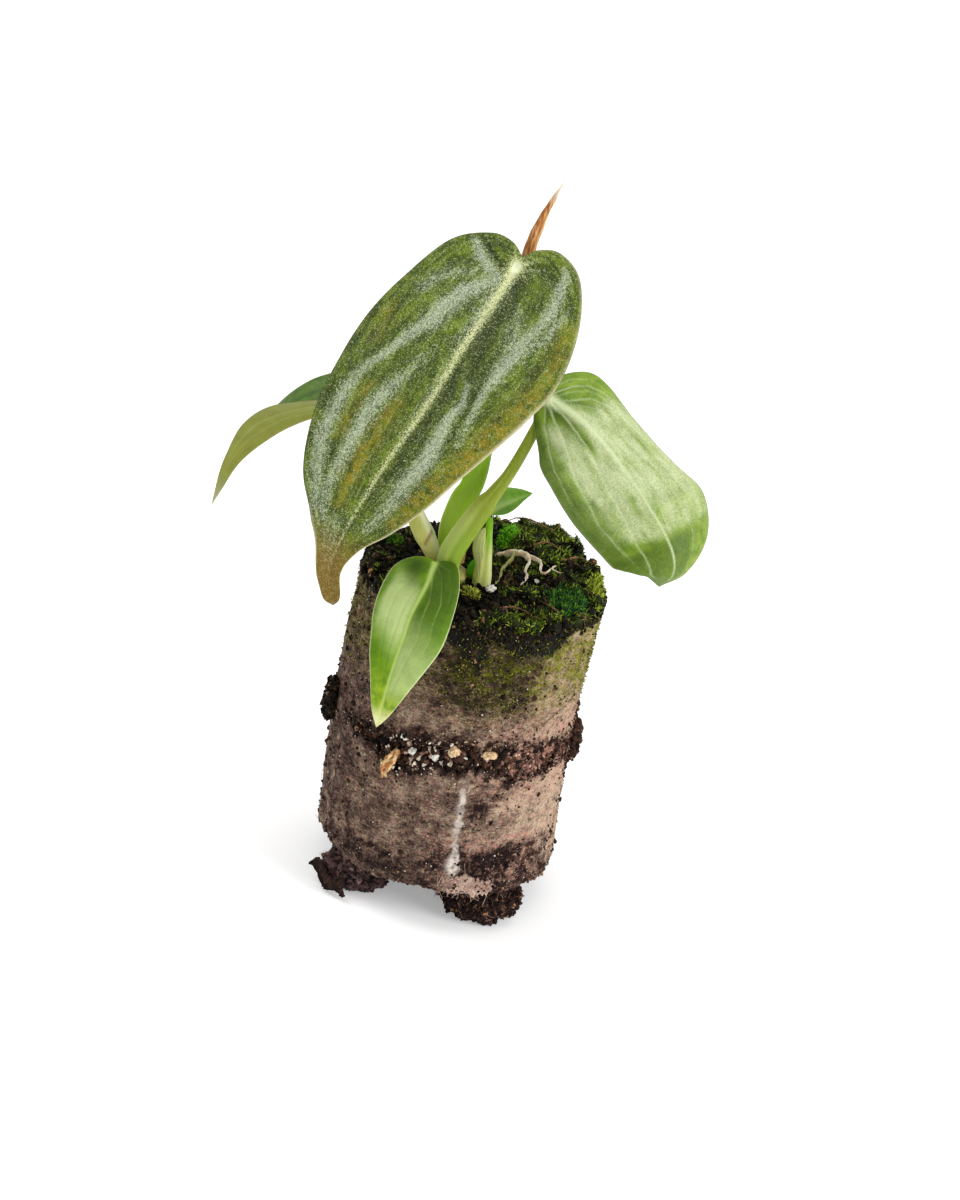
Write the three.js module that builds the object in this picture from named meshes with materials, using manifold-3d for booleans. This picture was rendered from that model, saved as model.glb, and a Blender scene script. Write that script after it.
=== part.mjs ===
// A young black gold philodendron rooted in a paper-sleeved growing plug.
// Millimetres, +Z up. The plug stands on its foot with its axis on Z, and the origin is the centre of
// that foot on the surface that it stands on. -Y is the front, where the small leaf hangs over the rim.

import * as THREE from 'three';
import Module from 'manifold-3d';

// Driving dimensions of the plug
const SLEEVE_RADIUS = 25;
const SLEEVE_THICKNESS = 0.5;
const SLEEVE_BOTTOM = 8.5;
const SLEEVE_TOP = 68.5;
const PLUG_BOW = 1.1;
const GAP = 0.3;
const MEDIUM_RADIUS = SLEEVE_RADIUS - SLEEVE_THICKNESS - GAP;
const MEDIUM_UNDERSIDE = 9.6;
const FOOT_CENTRE_Y = 7;
const FOOT_RADIUS = 10.8;
const SOIL_LEVEL = 69;
const MOUND_HEIGHT = 3.6;

// The torn band in the sleeve, by compass angle in degrees (0 is +X, -90 is the front)
const TEAR_START = -150;
const TEAR_END = 30;
const TEAR_LEVEL = 39.4;
const TEAR_HALF_HEIGHT = 4;

// Driving dimensions of the plant
const BLADE_THICKNESS = 0.5;
const VEIN_CROWDING = 1.7;
const VEIN_BEND = 1.4;
const CROWN_CENTRE = [-7.8, -5.3];
const CROWN_RADII = [4.4, 4.3];
const CROWN_TOP = 71.2;
const CROWN_SEAT = CROWN_TOP + GAP;

const group = new THREE.Group();

// Small helpers

function degrees(angle) {
  return angle * Math.PI / 180;
}

function vector(list) {
  return new THREE.Vector3(...list);
}

function addPart(name, geometry, colour, roughness) {
  const material = new THREE.MeshStandardMaterial({ color: colour, roughness, metalness: 0 });
  const mesh = new THREE.Mesh(geometry, material);
  mesh.name = name;
  group.add(mesh);
  return mesh;
}

// Builds one closed geometry from triangles given by their corners: equal corners are merged, flat
// triangles are dropped, and the faces are turned to point out.
function closedGeometry(triangles) {
  const positions = [];
  const numbers = new Map();
  const index = [];
  function corner(point) {
    const key = [point.x, point.y, point.z].map((value) => Math.round(value * 2000)).join(' ');
    if (!numbers.has(key)) {
      numbers.set(key, positions.length / 3);
      positions.push(point.x, point.y, point.z);
    }
    return numbers.get(key);
  }
  let volume = 0;
  for (const [first, second, third] of triangles) {
    const corners = [corner(first), corner(second), corner(third)];
    if (new Set(corners).size === 3) {
      index.push(corners);
      volume += first.dot(new THREE.Vector3().crossVectors(second, third)) / 6;
    }
  }
  const outward = volume > 0 ? index : index.map(([a, b, c]) => [a, c, b]);
  const geometry = new THREE.BufferGeometry();
  geometry.setAttribute('position', new THREE.Float32BufferAttribute(positions, 3));
  geometry.setIndex(outward.flat());
  geometry.computeVertexNormals();
  return geometry;
}

// Triangles between neighbouring rings of points, closed by a pole at either end where one is given.
function ringTriangles(rings, firstPole, lastPole) {
  const triangles = [];
  const count = rings[0].length;
  for (let row = 0; row + 1 < rings.length; row += 1) {
    for (let place = 0; place < count; place += 1) {
      const next = (place + 1) % count;
      const a = rings[row][place];
      const b = rings[row][next];
      const c = rings[row + 1][next];
      const d = rings[row + 1][place];
      triangles.push([a, b, c], [a, c, d]);
    }
  }
  for (let place = 0; place < count; place += 1) {
    const next = (place + 1) % count;
    if (firstPole) {
      triangles.push([firstPole, rings[0][next], rings[0][place]]);
    }
    if (lastPole) {
      triangles.push([lastPole, rings.at(-1)[place], rings.at(-1)[next]]);
    }
  }
  return triangles;
}

function centreOf(ring) {
  const centre = new THREE.Vector3();
  ring.forEach((point) => centre.add(point));
  return centre.multiplyScalar(1 / ring.length);
}

// A smooth curve through a few points, read by its length from 0 to 1.
function smoothCurve(points) {
  const curve = new THREE.CatmullRomCurve3(points.map(vector), false, 'catmullrom', 0.5);
  curve.arcLengthDivisions = 240;
  return curve;
}

// A stalk along a few points. Its cross-section is an ellipse, wide along wideWay, and its half-widths
// are read from [part of the length, wide, thin] stations. A seat cuts its foot level.
function stalkTriangles(points, stations, options = {}) {
  const { wideWay = [1, 0, 0], seat = -Infinity, sides = 10, steps = 13 } = options;
  const curve = smoothCurve(points);
  const rings = [];
  for (let step = 0; step <= steps; step += 1) {
    const part = step / steps;
    const centre = curve.getPointAt(part);
    const along = curve.getTangentAt(part);
    const across = vector(wideWay).addScaledVector(along, -along.dot(vector(wideWay))).normalize();
    const out = new THREE.Vector3().crossVectors(along, across);
    const [wide, thin] = readStations(stations, part);
    const ring = [];
    for (let side = 0; side < sides; side += 1) {
      const turn = 2 * Math.PI * side / sides;
      const point = centre.clone().addScaledVector(across, wide * Math.cos(turn))
        .addScaledVector(out, thin * Math.sin(turn));
      ring.push(point.setZ(Math.max(point.z, seat)));
    }
    rings.push(ring);
  }
  return ringTriangles(rings, centreOf(rings[0]), centreOf(rings.at(-1)));
}

function readStations(stations, part) {
  let place = 0;
  while (place + 2 < stations.length && part > stations[place + 1][0]) {
    place += 1;
  }
  const [start, ...low] = stations[place];
  const [end, ...high] = stations[place + 1];
  const share = THREE.MathUtils.clamp((part - start) / (end - start), 0, 1);
  return low.map((value, number) => THREE.MathUtils.lerp(value, high[number], share));
}

// The plug: its section is a circle whose centre bows a little to the left at mid-height.

function bowAt(height) {
  const share = THREE.MathUtils.clamp((height - SLEEVE_BOTTOM) / (SLEEVE_TOP - SLEEVE_BOTTOM), 0, 1);
  return -PLUG_BOW * Math.sin(Math.PI * share);
}

function plugPoint(angle, radius, height) {
  const turn = degrees(angle);
  return new THREE.Vector3(bowAt(height) + radius * Math.cos(turn), radius * Math.sin(turn), height);
}

function soilTop(x, y) {
  const mound = MOUND_HEIGHT * Math.exp(-((x - 9) ** 2 + (y - 15) ** 2) / 170);
  return SOIL_LEVEL + mound + 0.4 * Math.sin(0.45 * x + 0.4) * Math.cos(0.4 * y);
}

// The medium: its soil on top, its wall inside the sleeve, and an underside that is hollowed out round
// the foot.
function growingMedium() {
  const columns = 44;
  function ring(radius, centreY, heightOf) {
    const points = [];
    for (let column = 0; column < columns; column += 1) {
      const turn = 2 * Math.PI * column / columns;
      const x = radius * Math.cos(turn);
      const y = centreY + radius * Math.sin(turn);
      points.push(new THREE.Vector3(x, y, heightOf(x, y)));
    }
    return points;
  }
  // share is 0 at the foot's edge and 1 at the wall
  function undersideRing(share) {
    const radius = THREE.MathUtils.lerp(FOOT_RADIUS, MEDIUM_RADIUS, share);
    const rise = THREE.MathUtils.smoothstep(share, 0, 0.2);
    return ring(radius, FOOT_CENTRE_Y * (1 - share), (x, y) => {
      const ragged = MEDIUM_UNDERSIDE + 0.5 * Math.sin(0.8 * x) * Math.cos(0.7 * y + 1);
      return ragged * rise;
    });
  }
  const rings = [3, 7, 10.5, 14, 17.5, 21, MEDIUM_RADIUS].map((radius) => ring(radius, 0, soilTop));
  for (const height of [62, 54, 46, 38, 30, 20]) {
    rings.push(ring(MEDIUM_RADIUS, 0, () => height).map((point) => point.setX(point.x + bowAt(height))));
  }
  rings.push(...[1, 0.75, 0.5, 0.3, 0.2, 0.1, 0].map(undersideRing));
  const top = new THREE.Vector3(0, 0, soilTop(0, 0));
  const bottom = new THREE.Vector3(0, FOOT_CENTRE_Y, 0);
  return closedGeometry(ringTriangles(rings, top, bottom));
}

// The sleeve: a grid round the plug with the torn band left out, given its thickness.
function paperSleeve() {
  const columns = 60;
  const step = 360 / columns;
  function tearHalf(angle) {
    const share = (angle - TEAR_START) / (TEAR_END - TEAR_START);
    const swell = Math.sin(Math.PI * THREE.MathUtils.clamp(share, 0, 1)) ** 0.6;
    return 0.6 + TEAR_HALF_HEIGHT * swell + 0.4 * Math.sin(degrees(angle * 9)) * swell;
  }
  function rowHeight(row, angle) {
    const rim = SLEEVE_TOP + 0.4 * Math.sin(degrees(3 * angle)) + 0.3 * Math.sin(degrees(7 * angle));
    const hem = SLEEVE_BOTTOM + 0.4 * Math.sin(degrees(4 * angle + 40));
    const low = TEAR_LEVEL - tearHalf(angle);
    const high = TEAR_LEVEL + tearHalf(angle);
    const heights = [hem, hem + (low - hem) / 3, hem + 2 * (low - hem) / 3, low, high,
      high + (rim - high) / 3, high + 2 * (rim - high) / 3, rim];
    return heights[row];
  }
  const rows = 8;
  const tearRow = 3;
  function angleOf(column) {
    return TEAR_START + step * ((column + columns) % columns);
  }
  function point(column, row, side) {
    const angle = angleOf(column);
    const radius = side === 'out' ? SLEEVE_RADIUS : SLEEVE_RADIUS - SLEEVE_THICKNESS;
    return plugPoint(angle, radius, rowHeight(row, angle));
  }
  function present(column, row) {
    if (row < 0 || row >= rows - 1) {
      return false;
    }
    const angle = angleOf(column);
    return !(row === tearRow && angle >= TEAR_START && angle < TEAR_END);
  }
  const triangles = [];
  function quad(a, b, c, d) {
    triangles.push([a, b, c], [a, c, d]);
  }
  for (let column = 0; column < columns; column += 1) {
    for (let row = 0; row < rows - 1; row += 1) {
      if (present(column, row)) {
        const corners = [[column, row], [column + 1, row], [column + 1, row + 1], [column, row + 1]];
        const outer = corners.map(([c, r]) => point(c, r, 'out'));
        const inner = corners.map(([c, r]) => point(c, r, 'in'));
        quad(...outer);
        quad(...inner.toReversed());
        const beyond = [[column, row - 1], [column + 1, row], [column, row + 1], [column - 1, row]];
        beyond.forEach(([c, r], edge) => {
          if (!present((c + columns) % columns, r)) {
            const next = (edge + 1) % 4;
            quad(outer[edge], inner[edge], inner[next], outer[next]);
          }
        });
      }
    }
  }
  return closedGeometry(triangles);
}

// A thin curved piece: place(u, v) gives a point of its middle surface, u across and v along from 0 to 1.
// It is thickest in the middle and sharp at its edges.
function sheetTriangles(place, thickness, across = 6, along = 10) {
  const rings = [];
  const small = 0.001;
  for (let row = 0; row <= along; row += 1) {
    const front = [];
    const back = [];
    for (let column = 0; column <= across; column += 1) {
      const u = column / across;
      const v = row / along;
      const middle = place(u, v);
      const sideways = place(u + small, v).sub(place(u - small, v));
      const lengthways = place(u, v + small).sub(place(u, v - small));
      const normal = new THREE.Vector3().crossVectors(sideways, lengthways).normalize();
      const inside = column > 0 && column < across ? thickness / 2 : 0;
      front.push(middle.clone().addScaledVector(normal, inside));
      if (inside > 0) {
        back.unshift(middle.clone().addScaledVector(normal, -inside));
      }
    }
    rings.push([...front, ...back]);
  }
  return ringTriangles(rings, centreOf(rings[0]), centreOf(rings.at(-1)));
}

// A rounded lump: an ellipsoid with a few soft waves, cut level by a floor and a ceiling.
function lump(centre, radii, { floor = -Infinity, ceiling = Infinity, waves = 0.12, seed = 0 } = {}) {
  const sides = 14;
  const levels = 8;
  function point(turn, rise) {
    const swell = 1 + waves * Math.sin(3 * turn + seed) * Math.cos(2 * rise + 2 * seed);
    const x = centre[0] + radii[0] * swell * Math.cos(turn) * Math.cos(rise);
    const y = centre[1] + radii[1] * swell * Math.sin(turn) * Math.cos(rise);
    const z = centre[2] + radii[2] * Math.sin(rise);
    return new THREE.Vector3(x, y, THREE.MathUtils.clamp(z, floor, ceiling));
  }
  const rings = [];
  for (let level = 1; level < levels; level += 1) {
    const rise = Math.PI * (level / levels - 0.5);
    const ring = [];
    for (let side = 0; side < sides; side += 1) {
      ring.push(point(2 * Math.PI * side / sides, rise));
    }
    rings.push(ring);
  }
  return closedGeometry(ringTriangles(rings, point(0, -Math.PI / 2), point(0, Math.PI / 2)));
}

// A cushion that follows the soil a gap above it and domes up to its height.
function mossCushion(centre, radii, height) {
  const sides = 16;
  const levels = 4;
  function ring(share, top) {
    const points = [];
    for (let side = 0; side < sides; side += 1) {
      const turn = 2 * Math.PI * side / sides;
      const wobble = 1 + 0.1 * Math.sin(3 * turn + centre[0]);
      const x = centre[0] + radii[0] * share * wobble * Math.cos(turn);
      const y = centre[1] + radii[1] * share * wobble * Math.sin(turn);
      const rise = top ? height * Math.sqrt(Math.max(0, 1 - share * share)) : 0;
      points.push(new THREE.Vector3(x, y, soilTop(x, y) + GAP + rise));
    }
    return points;
  }
  const rings = [];
  for (let level = 1; level <= levels; level += 1) {
    rings.push(ring(Math.sin(Math.PI / 2 * level / levels), true));
  }
  for (let level = levels - 1; level > 0; level -= 1) {
    rings.push(ring(level / levels, false));
  }
  const [x, y] = centre;
  const top = new THREE.Vector3(x, y, soilTop(x, y) + GAP + height);
  const bottom = new THREE.Vector3(x, y, soilTop(x, y) + GAP);
  return closedGeometry(ringTriangles(rings, top, bottom));
}

// An angular grain: a twenty-sided solid, squashed and turned.
function grain(centre, size, turn) {
  const shape = new THREE.IcosahedronGeometry(size, 0);
  const squash = new THREE.Matrix4().makeScale(1, 0.8, 0.7);
  const spin = new THREE.Matrix4().makeRotationFromEuler(new THREE.Euler(turn, 2 * turn, 3 * turn));
  const shift = new THREE.Matrix4().makeTranslation(...centre);
  shape.applyMatrix4(squash).applyMatrix4(spin).applyMatrix4(shift);
  const triangles = [];
  const place = shape.getAttribute('position');
  for (let corner = 0; corner < place.count; corner += 3) {
    const [a, b, c] = [0, 1, 2].map((step) => new THREE.Vector3().fromBufferAttribute(place, corner + step));
    triangles.push([a, b, c]);
  }
  return closedGeometry(triangles);
}

// Leaf blades. A blade is laid out flat first, in millimetres: a runs along the midrib from the petiole
// (0) to the tip and b across it, to the right seen from the upper face. The flat layout is then bent
// along the midrib curve, folded up by rise at the midrib and rolled down by arch towards the margins.

class Blade {
  constructor({ midrib, faces, rise, arch, left, right }) {
    this.curve = smoothCurve(midrib);
    this.length = this.curve.getLength();
    this.tip = left.at(-1)[0];
    this.faces = faces.map(vector);
    this.rise = rise;
    this.arch = arch;
    this.margins = [left, right].map((margin) => smoothCurve(margin.map(([a, b]) => [a, b, 0])));
  }

  frame(a) {
    const part = THREE.MathUtils.clamp(a / this.length, 0, 1);
    const place = part * (this.faces.length - 1);
    const low = Math.min(Math.floor(place), this.faces.length - 2);
    const along = this.curve.getTangentAt(part);
    const face = this.faces[low].clone().lerp(this.faces[low + 1], place - low);
    face.addScaledVector(along, -along.dot(face)).normalize();
    const across = new THREE.Vector3().crossVectors(face, along);
    const beyond = Math.min(a, 0) + Math.max(a - this.length, 0);
    const origin = this.curve.getPointAt(part).addScaledVector(along, beyond);
    return { origin, across, face };
  }

  surface(a, b, height = 0) {
    const { origin, across, face } = this.frame(a);
    const away = Math.abs(b);
    const fold = this.rise * away - this.arch * away * away / 20;
    const slope = Math.sign(b) * (this.rise - this.arch * away / 10);
    const tilt = 1 / Math.hypot(1, slope);
    return origin.addScaledVector(across, b - height * slope * tilt)
      .addScaledVector(face, fold + height * tilt);
  }

  // A row of the blade runs like a side vein, from the midrib to the margin at the same share of it.
  // The veins leave the midrib closer together near the petiole, and bend towards the tip.
  flat(share, across) {
    const margin = this.margins[across < 0 ? 0 : 1].getPointAt(share);
    const start = this.tip * share ** VEIN_CROWDING;
    const reach = Math.abs(across);
    return [start + (margin.x - start) * reach ** VEIN_BEND, margin.y * reach];
  }

  geometry(rows, columns) {
    const rings = [];
    for (let row = 0; row <= rows; row += 1) {
      const upper = [];
      const lower = [];
      for (let column = -columns; column <= columns; column += 1) {
        const share = row / rows;
        const [a, b] = this.flat(share, column / columns);
        const inside = Math.abs(column) < columns && row < rows ? BLADE_THICKNESS / 2 : 0;
        upper.push(this.surface(a, b, inside));
        if (Math.abs(column) < columns) {
          lower.unshift(this.surface(a, b, -inside));
        }
      }
      rings.push([...upper, ...lower]);
    }
    return closedGeometry(ringTriangles(rings));
  }
}

const LEAVES = {
  leaf_main: {
    midrib: [[-5.4, 3, 133.8], [-9.7, -3.7, 124.9], [-13.6, -9.2, 117.1], [-17.1, -14.3, 109],
      [-21.2, -19.1, 101.2], [-25.2, -23.8, 92.5], [-28.5, -28, 83.9], [-29.6, -30.5, 77.7],
      [-27.8, -33, 71.7]],
    faces: [[-0.1, -0.88, 0.47], [-0.08, -0.9, 0.43], [-0.15, -0.92, 0.35]],
    rise: 0.13,
    arch: 0.16,
    left: [[-2.6, 0], [-4.2, -3.4], [-3.4, -8], [2.2, -14.2], [14.5, -18], [28.5, -19.9],
      [43.4, -18.2], [55.2, -13.6], [61.6, -8.1], [66.8, -4], [72, -2.4], [75.6, -1.7], [77, 0]],
    right: [[-2.6, 0], [-5.3, 1.8], [-7, 6], [-4.4, 12], [4, 17], [15.5, 19.6], [26, 18.2],
      [35.2, 15.2], [49.6, 11.6], [58, 8.2], [64.5, 4.2], [70, 2.3], [75.6, 1.6], [77, 0]],
    grid: [20, 7],
    colour: 0x56652f,
    roughness: 0.5,
  },
  leaf_right: {
    midrib: [[5.9, 2, 108.5], [12.5, -1.1, 106.7], [18.3, -3.8, 103.4], [24.1, -6.5, 99],
      [28.1, -8.3, 95.5], [33.7, -11, 89.7], [36.2, -12.1, 85.5], [36.5, -11.5, 81.5],
      [34.7, -9.6, 78]],
    faces: [[0.1, -0.65, 0.75], [0.25, -0.68, 0.7], [0.3, -0.8, 0.55], [0.45, -0.95, 0.3],
      [0.7, -0.75, 0.2]],
    rise: -0.15,
    arch: 0.22,
    left: [[-0.8, 0], [-1.2, -2.5], [1.2, -6.5], [7.6, -11.5], [15, -13.2], [24.6, -13.8],
      [33.5, -12.6], [40.4, -11], [46, -6.5], [50.2, 0]],
    right: [[-0.8, 0], [-2.4, 3.5], [-1.2, 9], [2.5, 12.4], [10.5, 11], [17.4, 10.3], [25, 10.8],
      [32, 12.8], [38, 10.6], [44, 6.8], [50.2, 0]],
    grid: [18, 6],
    colour: 0x9dbb78,
    roughness: 0.45,
  },
  leaf_left: {
    midrib: [[-27.2, 3, 101.1], [-33.9, 3.2, 97.8], [-40.4, 3.5, 94.9], [-47.5, 4, 89.4],
      [-54, 4.5, 81], [-57.8, 5, 70.3]],
    faces: [[-0.2, -0.1, 1], [-0.5, 0.15, 0.8], [-0.7, 0.45, 0.5], [-0.8, 0.4, 0.2]],
    rise: 0.75,
    arch: 0.35,
    left: [[-1.2, 0], [-2.6, -3], [-0.5, -7], [6, -8.6], [14, -9.2], [22, -9], [30, -6],
      [38, -2.4], [45.6, 0]],
    right: [[-1.2, 0], [-2.6, 2.6], [0, 5.4], [7, 6.6], [13, 7.4], [18, 8.4], [25.4, 6.1],
      [33.4, 2.7], [45.6, 0]],
    grid: [16, 6],
    colour: 0x8d9440,
    roughness: 0.5,
  },
  leaf_front: {
    midrib: [[-10.2, -10.5, 74.1], [-11, -18, 72.2], [-12.7, -27, 69.6], [-13.2, -30.5, 66.6],
      [-14, -32.5, 61.8], [-14.7, -34, 56], [-15.3, -35, 48.1]],
    faces: [[-0.1, -0.5, 0.85], [-0.1, -0.8, 0.6], [-0.1, -0.95, 0.3]],
    rise: 0.12,
    arch: 0.3,
    left: [[-0.6, 0], [-1.4, -2], [-0.4, -5], [3, -7.7], [9, -8.3], [17, -7.6], [25.2, -6],
      [32, -3.6], [38, -1.7], [41.3, 0]],
    right: [[-0.6, 0], [-1.4, 2], [-0.6, 4.4], [5, 6.2], [13, 7.6], [20, 8.1], [26, 6.6],
      [32, 4.4], [38, 2], [41.3, 0]],
    grid: [16, 5],
    colour: 0x7fae45,
    roughness: 0.4,
  },
  leaf_back: {
    midrib: [[-1.4, -3, 84.4], [1.3, -1, 85.7], [4, 1, 86.7], [6.4, 2, 87.9]],
    faces: [[-0.1, -0.6, 0.8], [-0.1, -0.6, 0.8]],
    rise: 0.15,
    arch: 0.1,
    left: [[-0.5, 0], [0.2, -1.4], [2.2, -2.4], [4.5, -2.2], [7.4, -1.1], [10, 0]],
    right: [[-0.5, 0], [0.6, 1.6], [3, 2.9], [5.4, 3.3], [7.8, 2], [10, 0]],
    grid: [8, 3],
    colour: 0x7fc26a,
    roughness: 0.45,
  },
};

// Petioles and the side shoot: [part of the length, half-width, half-thickness] stations.
const STALKS = {
  petiole_main: {
    path: [[-7.9, -2.2, 71.4], [-8.6, -2.5, 75.4], [-8.6, -2.8, 79.8], [-7.5, -2.5, 85.4],
      [-5.7, -2, 90.5], [-5, 0, 106.8], [-5, 2.4, 123.1], [-5.4, 4, 132.8]],
    stations: [[0, 1.8, 1.1], [0.15, 2.3, 1.1], [0.35, 2.3, 1.1], [0.6, 1.4, 1.1], [1, 1.2, 0.9]],
    seat: CROWN_SEAT,
    colour: 0x7ba428,
  },
  petiole_right: {
    path: [[-7.2, -7.4, 71.4], [-7, -7.6, 75.5], [-5.9, -7.8, 79.3], [-4.2, -8, 83.8],
      [-2.8, -7.6, 87.2], [1, -5.4, 94.2], [4.2, -1.5, 102.4], [5.6, 2.9, 106.5]],
    stations: [[0, 1.5, 1.1], [0.25, 1.7, 1.1], [0.42, 2, 1], [0.6, 1.2, 1], [1, 1, 0.9]],
    seat: CROWN_SEAT,
    colour: 0x9aa64b,
  },
  petiole_left: {
    path: [[-9.8, -5, 71.4], [-12, -5, 75.3], [-15.4, -4.6, 80.3], [-20.2, -3.6, 87.6],
      [-24.1, -1, 94.5], [-26.7, 3.1, 100.3]],
    stations: [[0, 1.3, 1.2], [0.2, 2.1, 1.9], [0.5, 1.6, 1.5], [1, 1, 0.9]],
    seat: CROWN_SEAT,
    colour: 0xd3d3a0,
  },
  petiole_front: {
    path: [[-9.6, -8, 71.4], [-9.8, -8.8, 72.1], [-10.1, -10.2, 73.1]],
    stations: [[0, 0.8, 0.7], [1, 0.8, 0.6]],
    seat: CROWN_SEAT,
    colour: 0x9cb45a,
  },
  side_shoot: {
    path: [[-0.4, -6.3, 69.6], [-0.6, -6.2, 73], [-0.8, -5.6, 77.5], [-0.9, -4.8, 81], [-1.2, -3.4, 83.2]],
    stations: [[0, 1.5, 1.3], [0.4, 1.4, 1.2], [0.75, 0.8, 0.8], [1, 0.7, 0.6]],
    colour: 0xb5c661,
  },
  dry_sheath: {
    path: [[-6.2, 1.2, 69.6], [-6.4, 1.5, 76], [-5.6, 3, 88], [-4.8, 5.6, 109.1], [-3.8, 8, 125.6],
      [-3.4, 8.8, 136], [-2.3, 9.3, 141.9], [-0.5, 9.8, 147.3], [0.7, 10, 150.6]],
    stations: [[0, 1.1, 0.7], [0.3, 1.4, 0.6], [0.78, 1.3, 0.6], [0.88, 0.9, 0.5], [0.95, 0.45, 0.35],
      [1, 0.15, 0.12]],
    colour: 0x9a6a3a,
  },
};

// The dry root lies on the soil: the main root and two branches are joined into one solid.
function dryRoot(wasm) {
  const routes = [
    [[1.1, 5.5, 71.1], [3.6, 4.9, 72.4], [6.3, 4.6, 73.2], [8.9, 4.1, 72.9], [10.7, 3.8, 72.4],
      [11, 1.5, 71.5], [12.1, 0.8, 71.5], [13.9, 4.2, 72.3]],
    [[6.4, 4.5, 73.1], [7.6, 1.3, 72], [8.2, -0.8, 70.9], [7.6, -4, 70.1]],
    [[6, 4.5, 73.1], [3.8, -1.3, 71.1], [2.8, -5.7, 70.1]],
  ];
  const thickness = [[[0, 0.5, 0.4], [0.25, 0.85, 0.6], [0.5, 0.5, 0.45], [1, 0.25, 0.25]],
    [[0, 0.5, 0.45], [1, 0.25, 0.25]], [[0, 0.4, 0.4], [1, 0.25, 0.25]]];
  let whole = null;
  routes.forEach((route, number) => {
    const geometry = closedGeometry(stalkTriangles(route, thickness[number],
      { wideWay: [0, 0, 1], sides: 8, steps: 12 }));
    const mesh = new wasm.Mesh({
      numProp: 3,
      vertProperties: new Float32Array(geometry.getAttribute('position').array),
      triVerts: new Uint32Array(geometry.getIndex().array),
    });
    const solid = new wasm.Manifold(mesh);
    whole = whole ? whole.add(solid) : solid;
  });
  const joined = whole.getMesh();
  const geometry = new THREE.BufferGeometry();
  geometry.setAttribute('position', new THREE.Float32BufferAttribute(joined.vertProperties, 3));
  geometry.setIndex(Array.from(joined.triVerts));
  geometry.computeVertexNormals();
  return geometry;
}

// The plug
addPart('growing_medium', growingMedium(), 0x1e1812, 0.95);
addPart('paper_sleeve', paperSleeve(), 0x6f6257, 0.9);

// Lumps that hang from the underside, and the crumbs held on the sleeve
const LUMP_CEILING = MEDIUM_UNDERSIDE - 0.5 - GAP;
addPart('root_lump_left', lump([-14.8, -13.7, 4.1], [6.4, 4.7, 5.1],
  { floor: 0, ceiling: LUMP_CEILING, seed: 1 }), 0x1c1512, 0.95);
addPart('root_lump_right', lump([11.4, -14.2, 4.2], [7.6, 7.8, 5.8],
  { floor: 0, ceiling: LUMP_CEILING, seed: 2 }), 0x2a1c16, 0.95);
const SIDE_SEAT = SLEEVE_RADIUS + PLUG_BOW + GAP;
addPart('crumb_lump_left', lump([-SIDE_SEAT - 0.3, -6.6, 38.4], [1.1, 2.6, 4.2],
  { waves: 0.1, seed: 3 }), 0x1d1714, 0.95);
addPart('crumb_lump_right', lump([SIDE_SEAT - 2 * PLUG_BOW + 0.7, -2.2, 37], [0.8, 2.2, 4],
  { waves: 0.1, seed: 4 }), 0x3a2f1d, 0.95);

// Sleeve paper torn loose: a flap bent outwards at the lower left and a scrap at the lower front
addPart('sleeve_flap_left', closedGeometry(sheetTriangles((u, v) => {
  const x = -24.6 + 7.4 * v + 1.7 * u;
  const y = -14.6 - 7.4 * v + 1.2 * u - 0.9 * Math.sin(Math.PI * v);
  const height = 2.6 * (1 - v) + 0.4 + (2 + 0.8 * Math.sin(Math.PI * v)) * u;
  return new THREE.Vector3(x, y, height);
}, 0.8)), 0x4a382f, 0.9);
addPart('sleeve_scrap', closedGeometry(sheetTriangles((u, v) => {
  const turn = degrees(-82 + 22 * v);
  const radius = SLEEVE_RADIUS + 0.6 + 0.3 * Math.sin(Math.PI * v);
  const height = 8 + 3 * u + 0.5 * Math.sin(5 * v);
  return new THREE.Vector3(radius * Math.cos(turn), radius * Math.sin(turn), height);
}, 0.5, 4, 8)), 0xa58c7d, 0.9);

// Moss cushions on the soil
const MOSS = {
  moss_bright: [[3.2, 14.5], [1.8, 3.4], 1.3, 0x3f8a1e],
  moss_deep_green: [[17.2, -6.8], [3.8, 5], 1.5, 0x1f5a23],
  moss_rim_right: [[22.4, 2.6], [1.3, 3.6], 1.1, 0x93a02e],
  moss_stem_base: [[-2.6, -11.4], [2.4, 1.5], 0.9, 0x9aa437],
  moss_left: [[-19.6, 6.3], [1.6, 2.2], 0.9, 0x4f8f22],
  moss_mound: [[11.5, 19], [4.6, 2.6], 1.3, 0x4a5f1f],
};
for (const [name, [centre, radii, height, colour]] of Object.entries(MOSS)) {
  addPart(name, mossCushion(centre, radii, height), colour, 0.9);
}

// Perlite on the soil, and grains held in the tear by [angle, height, size]
const GRAIN_REACH = 0.7;
addPart('perlite_soil_a', grain([1.6, -9.6, soilTop(1.6, -9.6) + GAP + 1], 1.05, 0.4), 0xdedbd0, 0.8);
addPart('perlite_soil_b', grain([10.6, -1.6, soilTop(10.6, -1.6) + GAP + 0.6], 0.65, 1.1), 0xd5d2c6, 0.8);
const TEAR_GRAINS = [[-86, 41, 1.2], [-70, 41, 1.3], [-94, 38.8, 0.8], [-105, 38.8, 0.8],
  [-110, 41.4, 0.9]];
TEAR_GRAINS.forEach(([angle, height, size], number) => {
  const middle = plugPoint(angle, MEDIUM_RADIUS + GAP + size * GRAIN_REACH, height);
  const colour = number < 2 ? 0xd9c3a0 : 0xe6e3da;
  addPart(`tear_grain_${number + 1}`, grain(middle.toArray(), size, 0.7 * number), colour, 0.8);
});
const FIBRE_ROUTE = [[-108, 25.4, 38.4], [-114, 26, 35.4], [-119, 26, 32.4]];
const FIBRE_STATIONS = [[0, 0.8, 0.5], [0.5, 1.1, 0.6], [1, 0.6, 0.4]];
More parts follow.
